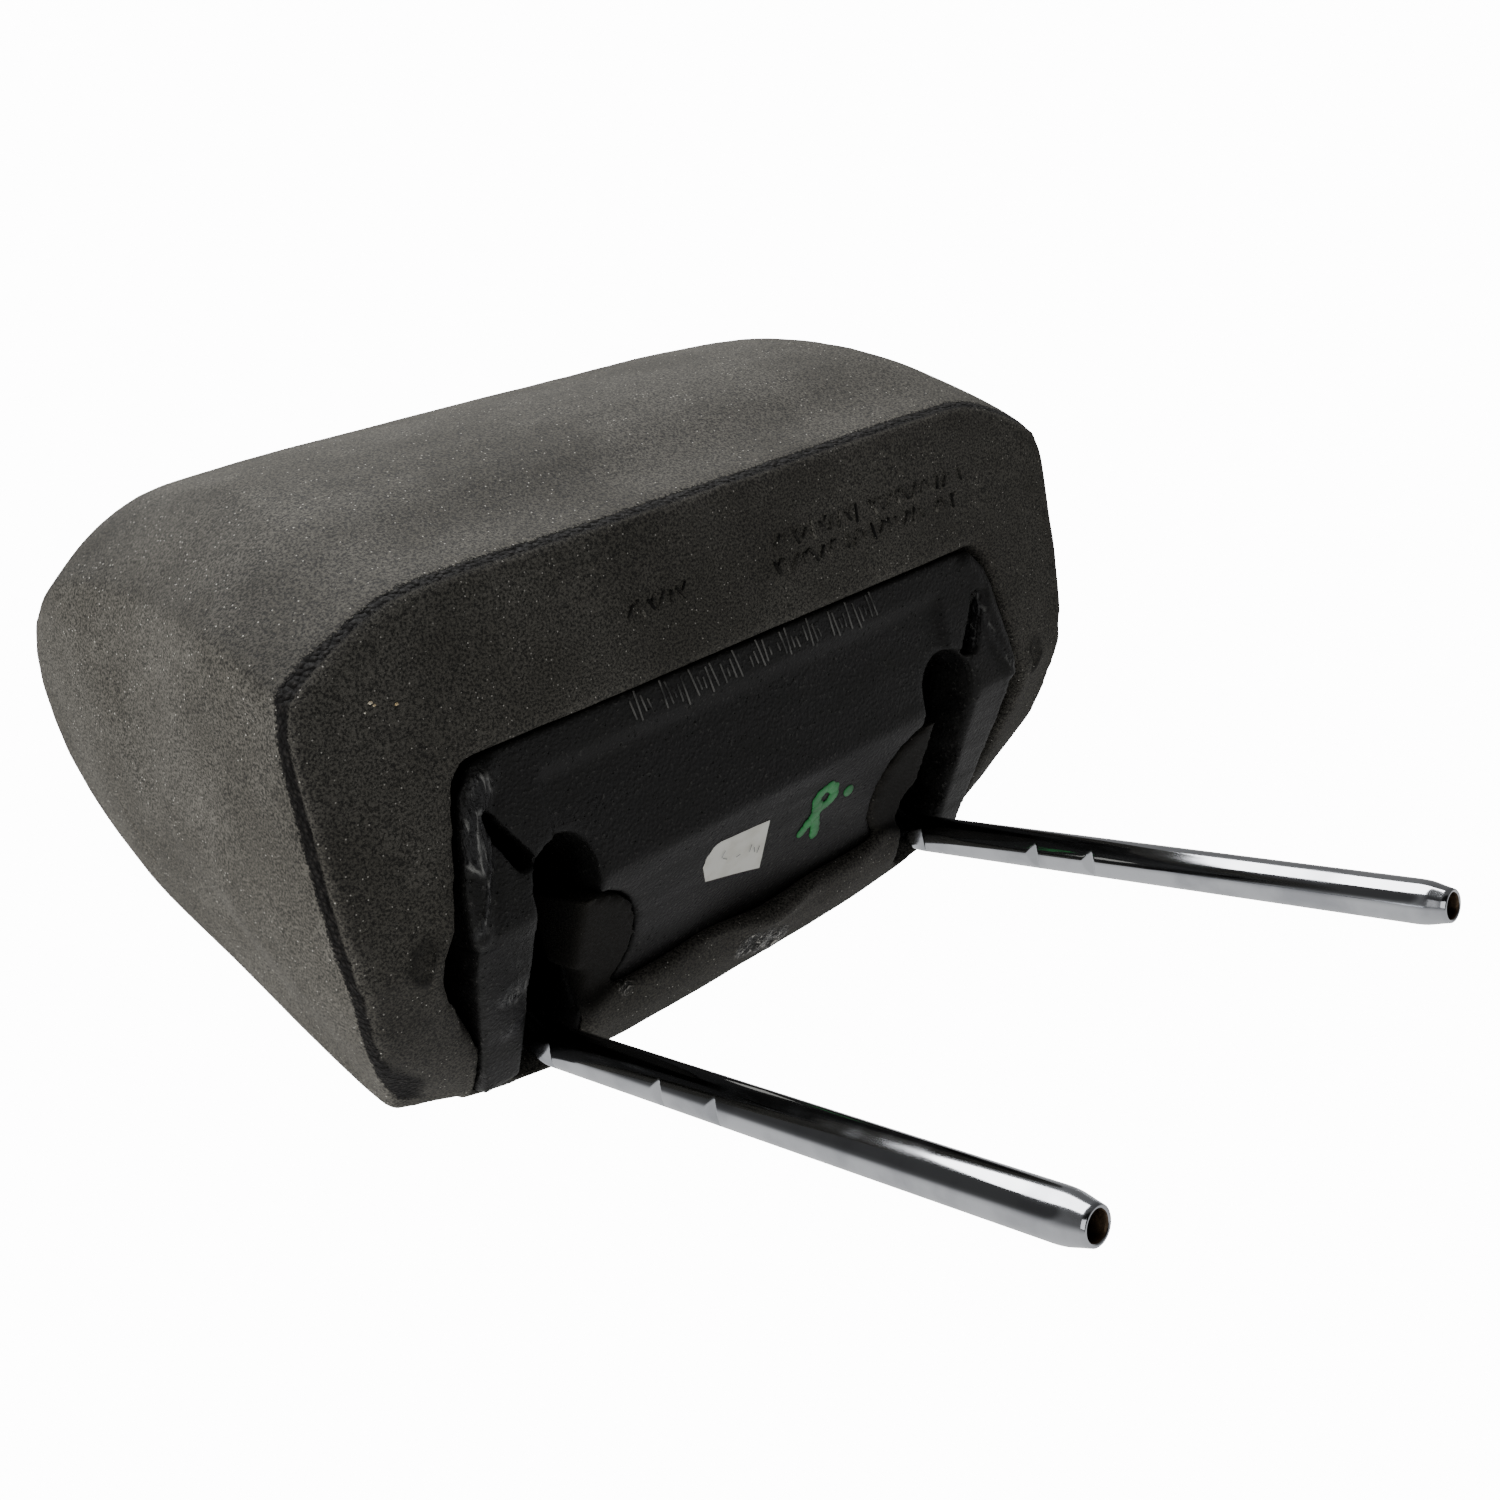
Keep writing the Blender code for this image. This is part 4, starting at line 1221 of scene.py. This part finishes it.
@dataclass
class Studio:
    """Plain soft studio: pale floor, white surround and large soft lights.

    The camera's place, axes and focal length in pixels were fitted to the photographed view.
    """

    image: int = 1500
    focal_px: float = 1655.5
    sensor: float = 36.0
    eye: Place = (-0.2977, -0.1925, -0.3387)
    down: Place = (-0.3402, 0.9379, -0.0671)
    ahead: Place = (0.6213, 0.2778, 0.7327)
    floor_z: float = -0.62
    floor_radius: float = 1.1
    backdrop: float = 14.0
    low_glow: float = 0.12
    rear_glow: float = 0.72
    top_glow: float = 0.12
    room_way: Place = (-0.505, -0.455, 0.733)
    dark_way: Place = (-0.485, -0.556, -0.672)
    lights: tuple[SoftLight, ...] = (
        SoftLight("key_front", (0.1, -1.3, 0.4), (0.0, -0.08, 0.08), (1.4, 0.9), 35.0),
        SoftLight("fill_left", (-1.3, 0.15, 0.4), (0.0, -0.05, 0.08), (1.0, 1.0), 26.0, False),
        SoftLight("low_left", (-1.0, -0.5, -0.6), (0.0, -0.05, 0.0), (0.9, 0.9), 4.0))

    def build(self) -> None:
        """Build the camera, world, floor and lights."""
        self.camera()
        self.surround()
        self.floor()
        for light in self.lights:
            light.build()

    def camera(self) -> None:
        """Place the camera at the photographed view."""
        lens = bpy.data.cameras.new("view")
        lens.sensor_width = self.sensor
        lens.lens = self.focal_px / self.image * self.sensor
        lens.clip_start = 0.01
        holder = bpy.data.objects.new("view", lens)
        bpy.context.scene.collection.objects.link(holder)
        back, up = -Vector(self.ahead).normalized(), -Vector(self.down)
        side = up.cross(back).normalized()
        up = back.cross(side)
        holder.matrix_world = Matrix.Translation(self.eye) @ Matrix((side, up, back)).transposed().to_4x4()
        bpy.context.scene.camera = holder

    def surround(self) -> None:
        """Build the surround: white to the camera, soft grey with two darker sides to the part."""
        world = bpy.data.worlds.new("surround")
        bpy.context.scene.world = world
        world.use_nodes = True
        tree = world.node_tree
        tree.nodes.clear()
        way = node(tree, Kind.WAY)
        axes = node(tree, Kind.AXES, way).node.outputs
        behind = node(tree, Kind.STEPS, axes[1], -0.3, 0.4, self.low_glow, self.rear_glow)
        above = node(tree, Kind.STEPS, axes[2], -0.1, 0.5, 0.0, self.top_glow)
        glow = node(tree, Kind.MATH, behind, above, operation="ADD")
        # The chrome mirrors the dimmer room on one side and a dark corner on the other.
        shade = node(tree, Kind.STEPS, node(tree, Kind.TOWARDS, way, self.dark_way), 0.62, 0.84, 1.0, 0.08)
        room = node(tree, Kind.STEPS, node(tree, Kind.TOWARDS, way, self.room_way), 0.76, 0.9, 1.0, 0.25)
        level = node(tree, Kind.MATH, node(tree, Kind.MATH, glow, shade), room)
        strength = node(tree, Kind.LEVEL, node(tree, Kind.RAY), level, self.backdrop)
        surface = node(tree, Kind.GLOW, (1, 1, 1, 1), strength)
        tree.links.new(surface, tree.nodes.new("ShaderNodeOutputWorld").inputs["Surface"])

    def floor(self) -> None:
        """Lay a pale floor well below the part."""
        work = bmesh.new()
        bmesh.ops.create_circle(work, cap_ends=True, segments=96, radius=self.floor_radius,
                                matrix=Matrix.Translation((0, 0, self.floor_z)))
        floor = place_mesh("floor", work)
        # Matt floor paint: pale grey with hardly any gloss.
        floor.data.materials.append(DullFinish("painted_floor", "d9d9d7", "cfcfcd", 6.0, 0.8).build())
        floor.visible_diffuse = floor.visible_glossy = False


def dress_fittings(frame: dict) -> None:
    """Give the hidden bearing blocks, plates and screws their finishes.

    Args:
        frame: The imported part.
    """
    finishes = {
        # Natural acetal, moulded: off-white and slightly waxy.
        "pivot_bush": DullFinish("moulded_acetal", "c9c5b8", "bdb8a9", 1.2, 0.45).build(),
        # Cold-rolled strip, stamped: mid grey with soft patches.
        "keeper_plate": SteelFinish("strip_steel", "a5a5a6", "8b8b8c", 1.0, 0.38).build(),
        # Zinc-plated steel, tumbled: warm grey and a little brighter.
        "keeper_screw": SteelFinish("zinc_plated_steel", "b9b6ac", "9a968a", 0.8, 0.34).build(),
    }
    for name, item in frame["nodes"].items():
        for start, material in finishes.items():
            if name.startswith(start):
                item.data.materials.clear()
                item.data.materials.append(material)
                LOG.info("fitting %s: %s", name, material.name)


def main() -> None:
    """Dress the part and light it."""
    logging.basicConfig(level=logging.INFO, format="%(name)s %(message)s")
    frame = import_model()
    Studio().build()
    skin = FoamSkin().build()
    plastic = FoamedCore().build()
    chrome = BrightChrome().build()
    # Bare steel inside the tube, browned by age: dark and rough.
    bore = SteelFinish("unplated_bore", "6b5a48", "2e2823", 1.0, 0.55).build()
    # Uncoated paper: white, matt and slightly soiled.
    paper = DullFinish("uncoated_paper", "ebeae2", "dedcd2", 0.9, 0.75, 0.05).build()
    # Printing ink, rubbed: faint grey.
    ink = DullFinish("faded_grey_ink", "a3a3a0", "7c7c7a", 1.2, 0.7, 0.05).build()
    # Marking paint, brushed on thick: clear green with a slight gloss.
    paint = DullFinish("brushed_green_paint", "1a8a41", "137034", 1.4, 0.4, 0.2).build()
    # Black plastic whose high spots are rubbed: dusty grey in patches.
    rubbed = DullFinish("rubbed_core_ribs", "5f5e5b", "141413", 1.1, 0.4, 0.2).build()
    # Cotton lint: pale yellow and fluffy.
    lint = DullFinish("pale_lint", "e8e4d4", "c8a24a", 2.0, 0.8, 0.2).build()
    foam = FoamPad(frame["nodes"]["foam_pad"], skin).build()
    core = Core(frame["nodes"]["core"], plastic).build()
    PostTube(chrome, bore).build()
    label = PaperLabel(paper, ink)
    label.build()
    label.build_marks()
    PaintDaub(paint).build()
    marks = MouldMarks(foam, core, skin, rubbed, lint)
    marks.build_core_strokes()
    marks.build_foam_strokes()
    marks.build_lint()
    dress_fittings(frame)


if __name__ == "__main__":
    main()
